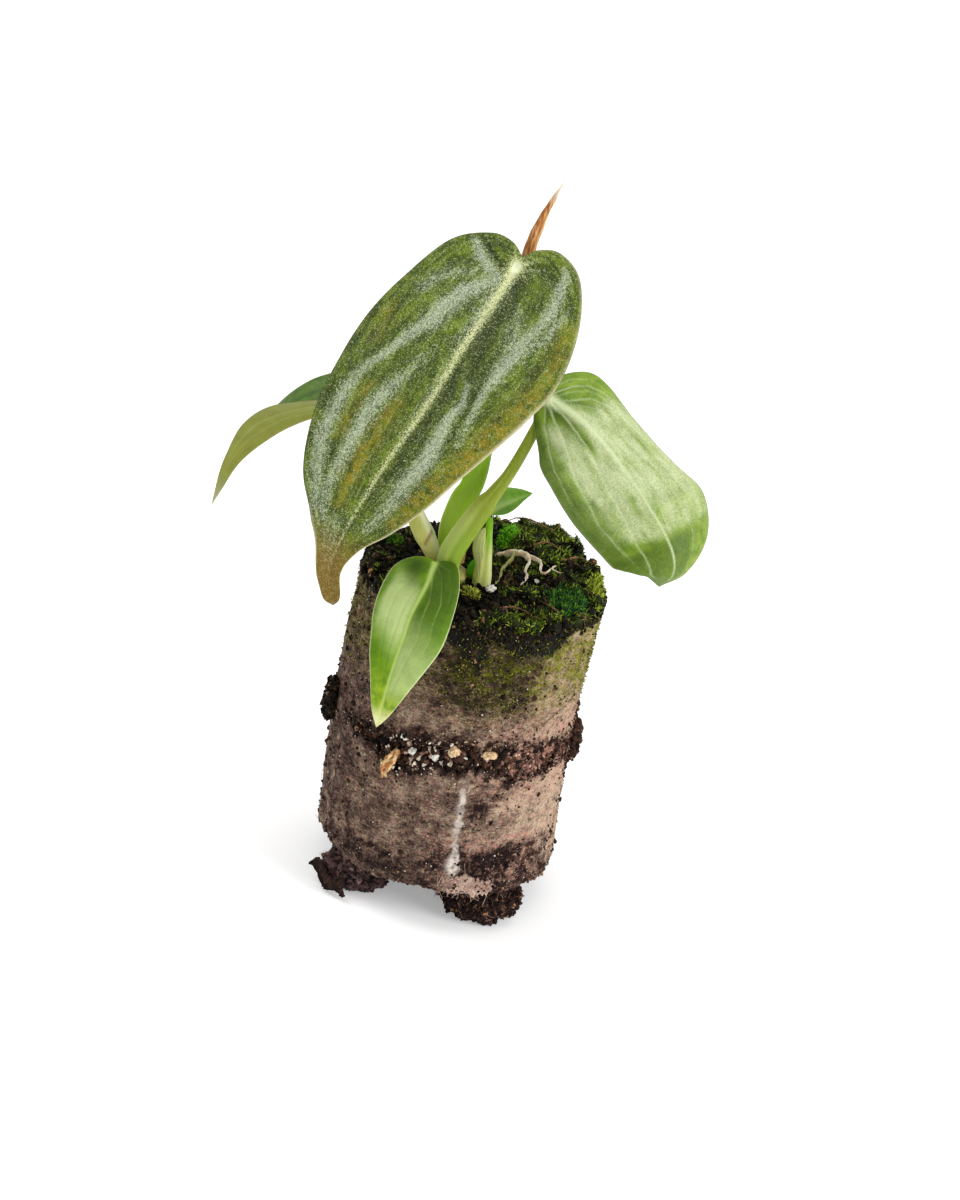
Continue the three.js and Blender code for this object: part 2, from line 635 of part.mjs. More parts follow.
addPart('tear_fibre', closedGeometry(stalkTriangles(
  FIBRE_ROUTE.map(([angle, radius, height]) => plugPoint(angle, radius, height).toArray()),
  FIBRE_STATIONS,
  { wideWay: [0, 0, 1], sides: 8, steps: 8 },
)), 0xb5783c, 0.85);

// The crown: a low button that the petioles stand on
addPart('crown', (() => {
  const sides = 20;
  function ring(share, height) {
    const points = [];
    for (let side = 0; side < sides; side += 1) {
      const turn = 2 * Math.PI * side / sides;
      const x = CROWN_CENTRE[0] + CROWN_RADII[0] * share * Math.cos(turn);
      const y = CROWN_CENTRE[1] + CROWN_RADII[1] * share * Math.sin(turn);
      points.push(new THREE.Vector3(x, y, height ?? soilTop(x, y) + GAP));
    }
    return points;
  }
  const rings = [ring(0.5), ring(0.92), ring(1, 70.2), ring(0.96, 70.9), ring(0.85, CROWN_TOP)];
  return closedGeometry(ringTriangles(rings, centreOf(rings[0]), centreOf(rings.at(-1))));
})(), 0x8f8a4e, 0.7);

// Petioles, the side shoot and the dry sheath
for (const [name, { path, stations, seat, colour }] of Object.entries(STALKS)) {
  addPart(name, closedGeometry(stalkTriangles(path, stations, { seat })), colour, 0.5);
}

// The thin sheath at the side shoot, and the bud beside it
addPart('side_shoot_sheath', closedGeometry(sheetTriangles((u, v) => {
  const wrap = 1.9 + 1.1 * Math.sin(Math.PI * v);
  const turn = degrees(165 + 70 * u);
  const x = -0.7 + wrap * Math.cos(turn);
  const y = -6 + wrap * Math.sin(turn) + 0.8 * v;
  return new THREE.Vector3(x, y, 70.2 + 12.3 * v);
}, 0.35, 4, 10)), 0xcfc9a4, 0.6);
addPart('bud', lump([-2.3, -3.8, 71.9], [0.9, 0.9, 2.2], { waves: 0.05 }), 0x4fa021, 0.45);

// Leaf blades
for (const [name, leaf] of Object.entries(LEAVES)) {
  addPart(name, new Blade(leaf).geometry(...leaf.grid), leaf.colour, leaf.roughness);
}

// The dry root
const wasm = await Module();
wasm.setup();
addPart('dry_root', dryRoot(wasm), 0xcdb896, 0.8);

export default group;
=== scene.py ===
# %% [markdown]
# # A young black gold philodendron in a paper-sleeved plug
#
# The real object is a small climbing aroid, grown in a cylinder of fibrous medium that is held by a thin
# nonwoven paper sleeve. This notebook loads the exact CAD model as a fixed frame and dresses it: each
# piece is made again with fine shape, a node material and, where it repeats, Geometry Nodes.

# %% Load the frame
import math

import bmesh
import bpy
import numpy as np
from mathutils import Matrix, Vector, noise


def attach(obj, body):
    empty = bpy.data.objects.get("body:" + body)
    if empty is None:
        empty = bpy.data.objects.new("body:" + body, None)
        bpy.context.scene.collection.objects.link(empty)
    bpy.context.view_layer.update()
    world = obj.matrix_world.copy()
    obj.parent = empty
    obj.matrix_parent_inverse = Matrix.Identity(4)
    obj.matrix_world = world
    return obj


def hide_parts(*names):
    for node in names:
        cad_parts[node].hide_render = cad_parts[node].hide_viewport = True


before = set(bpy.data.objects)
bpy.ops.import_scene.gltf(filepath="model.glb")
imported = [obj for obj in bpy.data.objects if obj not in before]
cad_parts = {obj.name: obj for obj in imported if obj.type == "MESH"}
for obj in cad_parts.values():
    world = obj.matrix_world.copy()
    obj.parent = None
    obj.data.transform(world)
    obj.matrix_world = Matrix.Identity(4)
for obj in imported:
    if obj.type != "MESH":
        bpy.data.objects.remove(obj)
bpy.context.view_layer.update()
MM = 0.001
scene = bpy.context.scene

# %% [markdown]
# ## Camera
#
# The photograph looks down on the plug and is turned a little clockwise. Its place was worked out from
# the plug's round rim, its leaning sides and its size, so the camera is built from three directions.
# A helper that aims at a point could not give the turn.

# %% Camera
LOOK_DOWN = math.radians(25.0)
TURNED = math.radians(10.9)
CAMERA_PLACE = Vector((0, -579.6, 333.5)) * MM
CAMERA_LENS = 93.8


def add_camera():
    forward = Vector((0, math.cos(LOOK_DOWN), -math.sin(LOOK_DOWN)))
    level_up = Vector((0, math.sin(LOOK_DOWN), math.cos(LOOK_DOWN)))
    level_right = Vector((1, 0, 0))
    right = level_right * math.cos(TURNED) + level_up * math.sin(TURNED)
    up = level_up * math.cos(TURNED) - level_right * math.sin(TURNED)
    data = bpy.data.cameras.new("photo_camera")
    data.lens = CAMERA_LENS
    data.clip_start = 0.01
    camera = bpy.data.objects.new("photo_camera", data)
    turn = Matrix((right, up, -forward)).transposed()
    camera.matrix_world = Matrix.Translation(CAMERA_PLACE) @ turn.to_4x4()
    scene.collection.objects.link(camera)
    scene.camera = camera


add_camera()
print("camera is", round((CAMERA_PLACE - Vector((0, 0, 0.0385))).length, 3), "m from the plug")

# %% [markdown]
# ## Light and floor
#
# A white room: a pale world fills the shadows, and three large soft lamps give the broad sheen that
# shows on the velvety leaf. Small lamps would put hard spots on it. More sheen and highlights are
# painted into the leaves' colour. The floor is only a stage.

# %% Light and floor
scene.view_settings.view_transform = "Standard"
WORLD_LIGHT = 0.5
FLOOR_WIDTH = 8.0


def add_lamp(name, place, aim, width, power):
    data = bpy.data.lights.new(name, "AREA")
    data.shape = "DISK"
    data.size = width
    data.energy = power
    lamp = bpy.data.objects.new(name, data)
    lamp.location = place
    lamp.rotation_mode = "QUATERNION"
    lamp.rotation_quaternion = (Vector(aim) - Vector(place)).to_track_quat("-Z", "Y")
    scene.collection.objects.link(lamp)


world = bpy.data.worlds.new("white_room")
scene.world = world
world.use_nodes = True
world.node_tree.nodes["Background"].inputs["Color"].default_value = (1, 1, 1, 1)
world.node_tree.nodes["Background"].inputs["Strength"].default_value = WORLD_LIGHT
add_lamp("window_left", (-0.75, 0.25, 0.85), (0, 0, 0.09), 0.7, 4.8)
add_lamp("softbox_right", (0.85, -0.35, 0.4), (0, 0, 0.05), 0.5, 6.2)
add_lamp("overhead", (0.05, 0.1, 1.1), (0, 0, 0.05), 0.9, 3.4)

# %% [markdown]
# ## Small helpers
#
# Most pieces here are lofted: rings of points joined into one closed skin. Smooth paths are read by
# their length, so that a value such as 0.5 always means half way along.

# %% Smooth paths
def unit(vectors):
    return vectors / np.linalg.norm(vectors, axis=-1, keepdims=True)


class Path:
    """A smooth curve through points, read by its share of the length from 0 to 1."""

    def __init__(self, points):
        points = np.array(points, float)
        before, after = 2 * points[0] - points[1], 2 * points[-1] - points[-2]
        self.points = np.vstack([before, points, after])
        self.spans = len(points) - 1
        self.times = np.linspace(0, 1, 1201)
        steps = np.linalg.norm(np.diff(self.raw(self.times), axis=0), axis=1)
        self.length = steps.sum()
        self.shares = np.r_[0, np.cumsum(steps)] / self.length

    def raw(self, time):
        place = np.clip(np.asarray(time, float), 0, 1) * self.spans
        first = np.minimum(np.floor(place).astype(int), self.spans - 1)
        t = (place - first)[..., None]
        p0, p1, p2, p3 = (self.points[first + step] for step in range(4))
        slope1, slope2 = (p2 - p0) / 2, (p3 - p1) / 2
        bend = 3 * (p2 - p1) - 2 * slope1 - slope2
        return p1 + slope1 * t + bend * t**2 + (2 * (p1 - p2) + slope1 + slope2) * t**3

    def at(self, share):
        return self.raw(np.interp(share, self.shares, self.times))

    def tangent(self, share):
        near = 0.001
        share = np.asarray(share, float)
        return unit(self.at(np.clip(share + near, 0, 1)) - self.at(np.clip(share - near, 0, 1)))


def crinkle(points, size, octaves=3, seed=0):
    """Smooth noise from about -1 to 1 at each point, with waves about as long as size."""
    shift = Vector((seed * 17.3, seed * 7.1, seed * 3.7))
    return np.array([noise.fractal(Vector(p) / size + shift, 1.0, 2.0, octaves) for p in np.asarray(points)])


def smooth(value, low, high):
    share = np.clip((value - low) / (high - low), 0, 1)
    return share * share * (3 - 2 * share)


def hill(distance, width):
    """1 in the middle, falling away softly on both sides."""
    return np.exp(-((distance / width) ** 2))


def at_height(x, y, z=0):
    return np.stack([x, y, 0 * x + z], 1)


def shaken(points, size, octaves, seed):
    """Smooth noise along each of the three directions, for a surface that is crumpled a little."""
    return np.stack([crinkle(points, size, octaves, seed + step) for step in range(3)], 1)


# %% Making a piece
def ring_faces(rings, columns, first_pole=None, last_pole=None):
    """Faces that join rings of points, numbered ring by ring, and close the ends on poles."""
    faces = []
    for ring in range(rings - 1):
        for column in range(columns):
            after = (column + 1) % columns
            low, high = ring * columns, (ring + 1) * columns
            faces.append((low + column, low + after, high + after, high + column))
    for column in range(columns):
        after = (column + 1) % columns
        if first_pole is not None:
            faces.append((first_pole, after, column))
        if last_pole is not None:
            top = (rings - 1) * columns
            faces.append((last_pole, top + column, top + after))
    return faces


def points_out(points, faces):
    """Turns the faces of a closed skin to point outwards."""
    corners = np.array([(*face, face[-1])[:4] for face in faces])
    a, b, c, d = (points[corners[:, step]] for step in range(4))
    volume = np.einsum("ij,ij->", a, np.cross(b, c) + np.cross(c, d))
    return faces if volume > 0 else [tuple(reversed(face)) for face in faces]


def build_mesh(name, points, faces, marks=None, flat=None, recalculate=False):
    """A mesh from points in millimetres, with a number per point for each mark and a flat UV map."""
    points = np.asarray(points, float)
    mesh = bpy.data.meshes.new(name)
    mesh.from_pydata((points * MM).tolist(), [], faces if recalculate else points_out(points, faces))
    for mark, values in (marks or {}).items():
        layer = mesh.attributes.new(mark, "FLOAT", "POINT")
        layer.data.foreach_set("value", np.ascontiguousarray(values, dtype=np.float32))
    if flat is not None:
        uv = mesh.uv_layers.new(name="Flat")
        corner = np.zeros(len(mesh.loops), dtype=np.int32)
        mesh.loops.foreach_get("vertex_index", corner)
        uv.data.foreach_set("uv", np.asarray(flat, dtype=np.float32)[corner].ravel())
    work = bmesh.new()
    work.from_mesh(mesh)
    bmesh.ops.remove_doubles(work, verts=work.verts, dist=0.002 * MM)
    bmesh.ops.dissolve_degenerate(work, edges=work.edges, dist=0.001 * MM)
    if recalculate:
        bmesh.ops.recalc_face_normals(work, faces=work.faces)
    work.to_mesh(mesh)
    work.free()
    mesh.polygons.foreach_set("use_smooth", [True] * len(mesh.polygons))
    return mesh


def ball_points(rows, columns):
    """A ball of radius 1: its rings from low to high, then its two poles."""
    rise = np.linspace(-np.pi / 2, np.pi / 2, rows + 2)[1:-1, None]
    turn = (2 * np.pi * np.arange(columns) / columns)[None, :]
    ball = np.stack([np.cos(rise) * np.cos(turn), np.cos(rise) * np.sin(turn), np.sin(rise) + 0 * turn], -1)
    return np.vstack([ball.reshape(-1, 3), [[0, 0, -1]], [[0, 0, 1]]])


def with_poles(values):
    """A mark's values ring by ring, then the mean of its first and last ring for the two poles."""
    return np.r_[values.ravel(), values[0].mean(), values[-1].mean()]


made = []


def add_piece(name, mesh, finish, slot, *nodes):
    """Shows a mesh as a piece that rides on the plant, wears a finish and stands for CAD nodes."""
    mesh.materials.clear()
    mesh.materials.append(finish)
    piece = bpy.data.objects.new(name, mesh)
    scene.collection.objects.link(piece)
    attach(piece, "root")
    if nodes:
        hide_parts(*nodes)
    triangles = sum(len(face.vertices) - 2 for face in mesh.polygons)
    made.append((name, triangles))
    print(f"{name}: {triangles} triangles")


# %% [markdown]
# ## Node materials
#
# A finish is a Principled shader fed by a few patterns. Writing each node by hand is long, so a small
# class adds one node for each call and hands back its output. Patterns read Object coordinates in
# millimetres, the piece's flat UV map, or the marks stored on its points, so they never slide.

# %% A helper for node materials
FLAT_WIDTH = 100.0


class NodeMaker:
    """Adds nodes to a tree. An input is fed by a value or by another node's output."""

    def add(self, kind, settings=(), inputs=(), output=0):
        node = self.tree.nodes.new(kind)
        for key, value in dict(settings).items():
            setattr(node, key, value)
        for key, value in dict(inputs).items():
            self.feed(node.inputs[key], value)
        return node.outputs[output]

    def feed(self, socket, value):
        if isinstance(value, bpy.types.NodeSocket):
            self.tree.links.new(value, socket)
        elif isinstance(value, tuple) and len(value) == 3 and socket.type == "RGBA":
            socket.default_value = (*value, 1)
        else:
            socket.default_value = value

    def maths(self, operation, first, second=0.0, clamp=False):
        return self.add("ShaderNodeMath", {"operation": operation, "use_clamp": clamp}, {0: first, 1: second})

    def times(self, first, second):
        return self.maths("MULTIPLY", first, second)

    def plus(self, first, second, clamp=False):
        return self.maths("ADD", first, second, clamp)

    def minus(self, first, second):
        return self.maths("SUBTRACT", first, second)

    def swing(self, pattern, strength):
        """A pattern's rise and fall about 0.5, made stronger or weaker."""
        return self.times(self.minus(pattern, 0.5), strength)


class Finish(NodeMaker):
    """A material with helpers for the patterns that feed its shader."""

    def __init__(self, name):
        self.material = bpy.data.materials.new(name)
        self.material.use_nodes = True
        self.tree = self.material.node_tree
        self.shader = self.tree.nodes["Principled BSDF"]

    def place(self, stretch=(1, 1, 1)):
        """Object coordinates in millimetres, stretched along each axis."""
        where = self.add("ShaderNodeTexCoord", output="Object")
        scale = tuple(1 / (MM * part) for part in stretch)
        return self.add("ShaderNodeMapping", {}, {"Vector": where, "Scale": scale})

    def flat(self, stretch=(1, 1)):
        """The flat map of a leaf in millimetres: across and along."""
        where = self.add("ShaderNodeUVMap", {"uv_map": "Flat"})
        scale = (FLAT_WIDTH / stretch[0], FLAT_WIDTH / stretch[1], 1)
        return self.add("ShaderNodeMapping", {}, {"Vector": where, "Scale": scale})

    def mark(self, name, strength=None):
        value = self.add("ShaderNodeAttribute", {"attribute_name": name}, output="Fac")
        return value if strength is None else self.times(value, strength)

    def noise(self, where, size, detail=2.0, rough=0.5):
        return self.add("ShaderNodeTexNoise", {}, {"Vector": where, "Scale": 1 / size, "Detail": detail,
                                                   "Roughness": rough}, "Fac")

    def cells(self, where, size, output="Distance"):
        return self.add("ShaderNodeTexVoronoi", {"feature": "F1"}, {"Vector": where, "Scale": 1 / size},
                        output)

    def sparkle(self, where, size):
        """One random number from 0 to 1 for each little cell."""
        colour = self.cells(where, size, "Color")
        return self.add("ShaderNodeSeparateColor", {}, {"Color": colour})

    def spread(self, value, low, high, start=0.0, end=1.0):
        return self.add("ShaderNodeMapRange", {"interpolation_type": "SMOOTHSTEP"},
                        {"Value": value, "From Min": low, "From Max": high, "To Min": start, "To Max": end})

    def mix(self, share, first, second):
        node = self.tree.nodes.new("ShaderNodeMix")
        node.data_type = "RGBA"
        self.feed(node.inputs[0], share)
        self.feed(node.inputs[6], first)
        self.feed(node.inputs[7], second)
        return node.outputs[2]

    def ramp(self, value, *stops):
        """A colour ramp given as (place, colour) stops."""
        node = self.tree.nodes.new("ShaderNodeValToRGB")
        self.feed(node.inputs["Fac"], value)
        elements = node.color_ramp.elements
        while len(elements) < len(stops):
            elements.new(0.5)
        for element, (place, colour) in zip(elements, stops):
            element.position = place
            element.color = (*colour, 1)
        return node.outputs["Color"]

    def bump(self, height, depth, below=None):
        """depth is the relief in millimetres for a height of 1."""
        inputs = {"Height": height, "Distance": depth * MM, "Strength": 1.0}
        if below is not None:
            inputs["Normal"] = below
        return self.add("ShaderNodeBump", {}, inputs)

    def wear(self, **sockets):
        for key, value in sockets.items():
            self.feed(self.shader.inputs[key.replace("_", " ")], value)
        return self.material


def paint(red, green, blue):
    """A colour as read off a screen, from 0 to 255, turned into the linear values that shaders use."""
    return tuple(((c / 255 + 0.055) / 1.055) ** 2.4 if c > 10 else c / 255 / 12.92
                 for c in (red, green, blue))


def toned(colour, *strengths):
    """A colour made darker or lighter by one strength, or by one for each of red, green and blue."""
    return tuple(part * strength for part, strength in zip(colour, strengths * (3 // len(strengths))))


floor_finish = Finish("floor_white").wear(Base_Color=(0.92, 0.92, 0.92), Roughness=0.9,
                                          Emission_Color=(1, 1, 1), Emission_Strength=0.3)
floor_mesh = bpy.data.meshes.new("floor")
half = FLOOR_WIDTH / 2
floor_mesh.from_pydata([(-half, -half, 0), (half, -half, 0), (half, half, 0), (-half, half, 0)], [],
                       [(0, 1, 2, 3)])
floor_mesh.materials.append(floor_finish)
floor = bpy.data.objects.new("floor", floor_mesh)
floor.location.z = -0.1 * MM
scene.collection.objects.link(floor)

# %% [markdown]
# ## The growing medium
#
# The plug is a cylinder of dark fibrous mix whose axis bows a little to the left. Its bumps are a few
# tenths of a millimetre to a millimetre high, so they are built into the mesh. The loose crumbs are
# scattered on it afterwards with Geometry Nodes, which is why the mesh carries marks that say where
# crumbs lie and where moss has crept in.

# %% Sizes of the plug
SLEEVE_RADIUS = 25.0
SLEEVE_BOTTOM, SLEEVE_TOP = 8.5, 68.5
PLUG_BOW = 1.1
MEDIUM_RADIUS = 24.2
MEDIUM_UNDERSIDE = 9.6
FOOT_CENTRE_Y, FOOT_RADIUS = 7.0, 10.8
SOIL_LEVEL = 69.0
MOUND_PLACE, MOUND_HEIGHT, MOUND_SPREAD = (9, 15), 3.6, 170
TEAR_START, TEAR_END = -150.0, 30.0
TEAR_LOW = ([-150, -138, -120, -113, -92, -69, -42, -19, 5, 30],
            [39.2, 37.4, 35.2, 33.4, 35.5, 35.3, 34.6, 35.6, 37.4, 39.2])
TEAR_HIGH = ([-150, -129, -117, -98, -81, -52, -23, 5, 30], [39.2, 40.2, 41.2, 42.4, 43.2, 42.8, 41.6, 40.6,
                                                             39.2])


def bow(z):
    return -PLUG_BOW * np.sin(np.pi * np.clip((z - SLEEVE_BOTTOM) / (SLEEVE_TOP - SLEEVE_BOTTOM), 0, 1))


def plug_point(angle, radius, z):
    turn = np.radians(angle)
    return np.stack([bow(z) + radius * np.cos(turn), radius * np.sin(turn), z + 0 * turn], -1)


def soil_top(x, y):
    mound = MOUND_HEIGHT * np.exp(-((x - MOUND_PLACE[0]) ** 2 + (y - MOUND_PLACE[1]) ** 2) / MOUND_SPREAD)
    return SOIL_LEVEL + mound + 0.4 * np.sin(0.45 * x + 0.4) * np.cos(0.4 * y)


def window(value, low, high, soft):
    """1 between low and high, fading to 0 over soft."""
    return smooth(value, low - soft, low + soft) * (1 - smooth(value, high - soft, high + soft))


def in_tear(angle, z, reach=0.0):
    low, high = np.interp(angle, *TEAR_LOW) - reach, np.interp(angle, *TEAR_HIGH) + reach
    return window(z, low, high, 0.6) * ((angle > TEAR_START) & (angle < TEAR_END))


def moss_patches(x, y):
    """Where moss has crept over the soil: mostly the right half and the back rim."""
    patches = crinkle(at_height(x, y), 3.2, 3, seed=5)
    right = 0.55 * smooth(x, -4, 10) + 0.25 * smooth(np.hypot(x, y), 18, 24) + 0.2 * smooth(y, 4, 16)
    fine = crinkle(at_height(x, y), 1.0, 2, seed=7)
    return smooth(patches + 0.8 * right + 0.5 * fine, 0.35, 0.8)


# %% The growing medium
MEDIUM_COLUMNS = 260
SOIL_RINGS, WALL_RINGS, FOOT_RINGS = 46, 92, 26
WALL_TOP, WALL_LOW = 68, 10.6
STEM_PLACE, STEM_REACH = (-6, -4), 7
SPIRE_SPREAD = 0.9
SPIRES = [(13.5, 19.2, 2.6), (21.2, 8.6, 1.5), (17.4, 15.2, 1.6), (5.5, 22.4, 1.6), (-9, 20.6, 1.5),
          (22.6, -3.5, 1.0)]


def medium_mesh():
    turn = 2 * np.pi * np.arange(MEDIUM_COLUMNS) / MEDIUM_COLUMNS
    angle = (np.degrees(turn) + 210) % 360 - 210
    rings = []
    marks = {"green": [], "on_top": [], "in_tear": []}

    def add_ring(points, *values):
        """A ring and its three marks, in their order."""
        rings.append(points)
        for mark, value in zip(marks, values):
            marks[mark].append(value + 0 * turn)

    for radius in np.linspace(0.5, MEDIUM_RADIUS, SOIL_RINGS):
        x, y = radius * np.cos(turn), radius * np.sin(turn)
        flat = at_height(x, y)
        clumps = 1.3 * crinkle(flat, 3.8, 3, seed=1) + 0.8 * np.abs(crinkle(flat, 1.5, 3, seed=2))
        for spire_x, spire_y, tall in SPIRES:
            clumps = clumps + tall * np.exp(-((x - spire_x) ** 2 + (y - spire_y) ** 2) / SPIRE_SPREAD)
        stem_x, stem_y = (x - STEM_PLACE[0]) / STEM_REACH, (y - STEM_PLACE[1]) / STEM_REACH
        near_stem = np.exp(-(stem_x**2 + stem_y**2))
        edge = smooth(radius, 23.2, MEDIUM_RADIUS)
        loose = np.clip(0.75 + 0.6 * crinkle(flat, 2.2, 2, seed=6), 0.2, 1.3)
        height = soil_top(x, y) + clumps * (1 - 0.7 * near_stem) - 0.7 * edge
        add_ring(np.stack([x, y, height], 1), moss_patches(x, y), loose, 0)
    for z in np.linspace(WALL_TOP, WALL_LOW, WALL_RINGS):
        bumps = crinkle(plug_point(angle, MEDIUM_RADIUS, z), 2.6, 3, seed=3)
        torn = in_tear(angle, z)
        radius = MEDIUM_RADIUS + np.minimum(0.35 * bumps, 0.15) + 0.5 * torn * bumps
        add_ring(plug_point(angle, radius, z), 0, 0, torn)
    for share in np.linspace(1, 0, FOOT_RINGS):
        radius = MEDIUM_RADIUS + (FOOT_RADIUS - MEDIUM_RADIUS) * (1 - share)
        x, y = radius * np.cos(turn), FOOT_CENTRE_Y * (1 - share) + radius * np.sin(turn)
        rough = crinkle(at_height(x, y, 9), 2.4, 3, seed=4)
        hollow = (MEDIUM_UNDERSIDE + 0.5 * np.sin(0.8 * x) * np.cos(0.7 * y + 1) + 0.7
                  * rough) * smooth(share, 0, 0.2)
        ragged = 1 + 0.3 * rough * window(share, 0.02, 0.3, 0.02) - 0.12 * window(share, -1, 0.05, 0.02)
        ring = np.stack([x * ragged, FOOT_CENTRE_Y + (y - FOOT_CENTRE_Y) * ragged, hollow], 1)
        add_ring(ring, 0, 0, 0.6 * smooth(hollow, 2, 5))
    points = np.vstack([*rings, [[0, 0, float(soil_top(0.0, 0.0))]], [[0, FOOT_CENTRE_Y, 0]]])
    faces = ring_faces(len(rings), MEDIUM_COLUMNS, len(points) - 2, len(points) - 1)
    marks = {mark: np.r_[np.concatenate(values), float(mark == "on_top"), 0] for mark,
             values in marks.items()}
    turns = np.degrees(np.arctan2(points[:, 1], points[:, 0]))
    high = marks["in_tear"] * (points[:, 2] > 30)
    marks["tear_right"] = high * (0.2 + window(turns, -64, 20, 8))
    marks["foot"] = window(points[:, 2], 1.7, 8, 0.4) * (np.hypot(points[:, 0],
                                                                  points[:, 1] - FOOT_CENTRE_Y) < 16)
    marks["tear_left"] = high * (0.1 + window(turns, -122, -80, 6))
    return build_mesh("growing_medium_body", points, faces, marks)


def medium_finish(name, dark, brown, pale, damp):
    finish = Finish(name)
    where = finish.place()
    shade = finish.mark("shade")
    grain = finish.noise(where, 0.7, 3.0, 0.6)
    shade = finish.plus(finish.times(shade, 0.7), finish.times(grain, 0.55))
    soil = finish.ramp(shade, (0.3, dark), (0.74, brown), (0.93, toned(brown, 1.4)), (1.0, pale))
    tint = finish.times(finish.mark("green"), finish.spread(finish.noise(where, 1.6), 0.4, 0.65))
    soil = finish.mix(finish.times(tint, 0.8), soil, paint(42, 58, 14))
    rough = finish.spread(grain, 0.3, 0.7, damp, 0.95)
    fine = finish.bump(finish.noise(where, 0.25, 2.0), 0.12)
    return finish.wear(Base_Color=soil, Roughness=rough, Normal=fine, Specular_IOR_Level=0.14)


soil_finish = medium_finish("dark_medium", paint(4, 3, 2), paint(30, 22, 11), paint(138, 104, 70), 0.5)
root_finish = medium_finish("rooty_medium", paint(14, 9, 8), paint(66, 44, 34), paint(168, 132, 100), 0.65)
medium = medium_mesh()
add_piece("growing_medium_body", medium, soil_finish, "medium", "growing_medium")

# %% [markdown]
# ## Scattered bits
#
# Crumbs, moss leaflets and paper fibres repeat by the thousand, so Geometry Nodes makes them. One tree
# does all three: it strews points on a ground mesh where a mark is high, turns one small shape to stand
# on each point, gives each a random size, lean and shade, and joins them to one plain mesh. Only the
# small shape differs. Every count comes from "Per square mm", so a larger ground gets more bits.

# %% The scattering tree
class Grower(NodeMaker):
    """A Geometry Nodes tree with named inputs."""

    def __init__(self, name, inputs):
        self.tree = bpy.data.node_groups.new(name, "GeometryNodeTree")
        self.sockets = {}
        self.tree.interface.new_socket("Ground", in_out="INPUT", socket_type="NodeSocketGeometry")
        for label, (kind, value) in inputs.items():
            socket = self.tree.interface.new_socket(label, in_out="INPUT", socket_type="NodeSocket" + kind)
            if value is not None:
                socket.default_value = value
            self.sockets[label] = socket.identifier
        self.tree.interface.new_socket("Bits", in_out="OUTPUT", socket_type="NodeSocketGeometry")
        self.start = self.tree.nodes.new("NodeGroupInput").outputs
        self.end = self.tree.nodes.new("NodeGroupOutput").inputs

    def scaled(self, vector, factor):
        return self.add("ShaderNodeVectorMath", {"operation": "SCALE"}, {0: vector, "Scale": factor})

    def random(self, low, high, seed):
        """A random vector for each point, between two vectors."""
        inputs = {"Min": low, "Max": high, "Seed": seed}
        return self.add("FunctionNodeRandomValue", {"data_type": "FLOAT_VECTOR"}, inputs)


HALF_TURN = 3.1416


CRUMB_WAVES = 900.0


def crumb_shape(grower):
    """An angular twenty-sided crumb, a millimetre in radius."""
    ball = grower.add("GeometryNodeMeshIcoSphere", {}, {"Radius": MM, "Subdivisions": 1})
    place = grower.add("GeometryNodeInputPosition")
    wobble = grower.add("ShaderNodeTexNoise", {"noise_dimensions": "3D"},
                        {"Vector": place, "Scale": CRUMB_WAVES}, "Color")
    shift = grower.add("ShaderNodeVectorMath", {"operation": "MULTIPLY_ADD"},
                       {0: wobble, 1: (1.6 * MM,) * 3, 2: (-0.8 * MM,) * 3})
    return grower.add("GeometryNodeSetPosition", {}, {"Geometry": ball, "Offset": shift})


def leaflet_shape(grower):
    """A pointed moss leaflet, two millimetres long before it is sized."""
    return grower.add("GeometryNodeMeshCone", {}, {"Vertices": 3, "Radius Top": 0.04 * MM,
                                                   "Radius Bottom": 0.42 * MM, "Depth": 2 * MM}, "Mesh")


def fibre_shape(grower):
    """A fine fibre that lies on the ground: six millimetres long, arched, with three sides."""
    arc = grower.add("GeometryNodeCurveQuadraticBezier", {},
                     {"Resolution": 4, "Start": (-3 * MM, 0, -0.05 * MM),
                      "Middle": (0.4 * MM, 1.6 * MM, 0.5 * MM), "End": (3 * MM, -0.4 * MM, -0.05 * MM)})
    ring = grower.add("GeometryNodeCurvePrimitiveCircle", {"mode": "RADIUS"},
                      {"Resolution": 3, "Radius": 0.07 * MM})
    return grower.add("GeometryNodeCurveToMesh", {}, {"Curve": arc, "Profile Curve": ring, "Fill Caps": True})


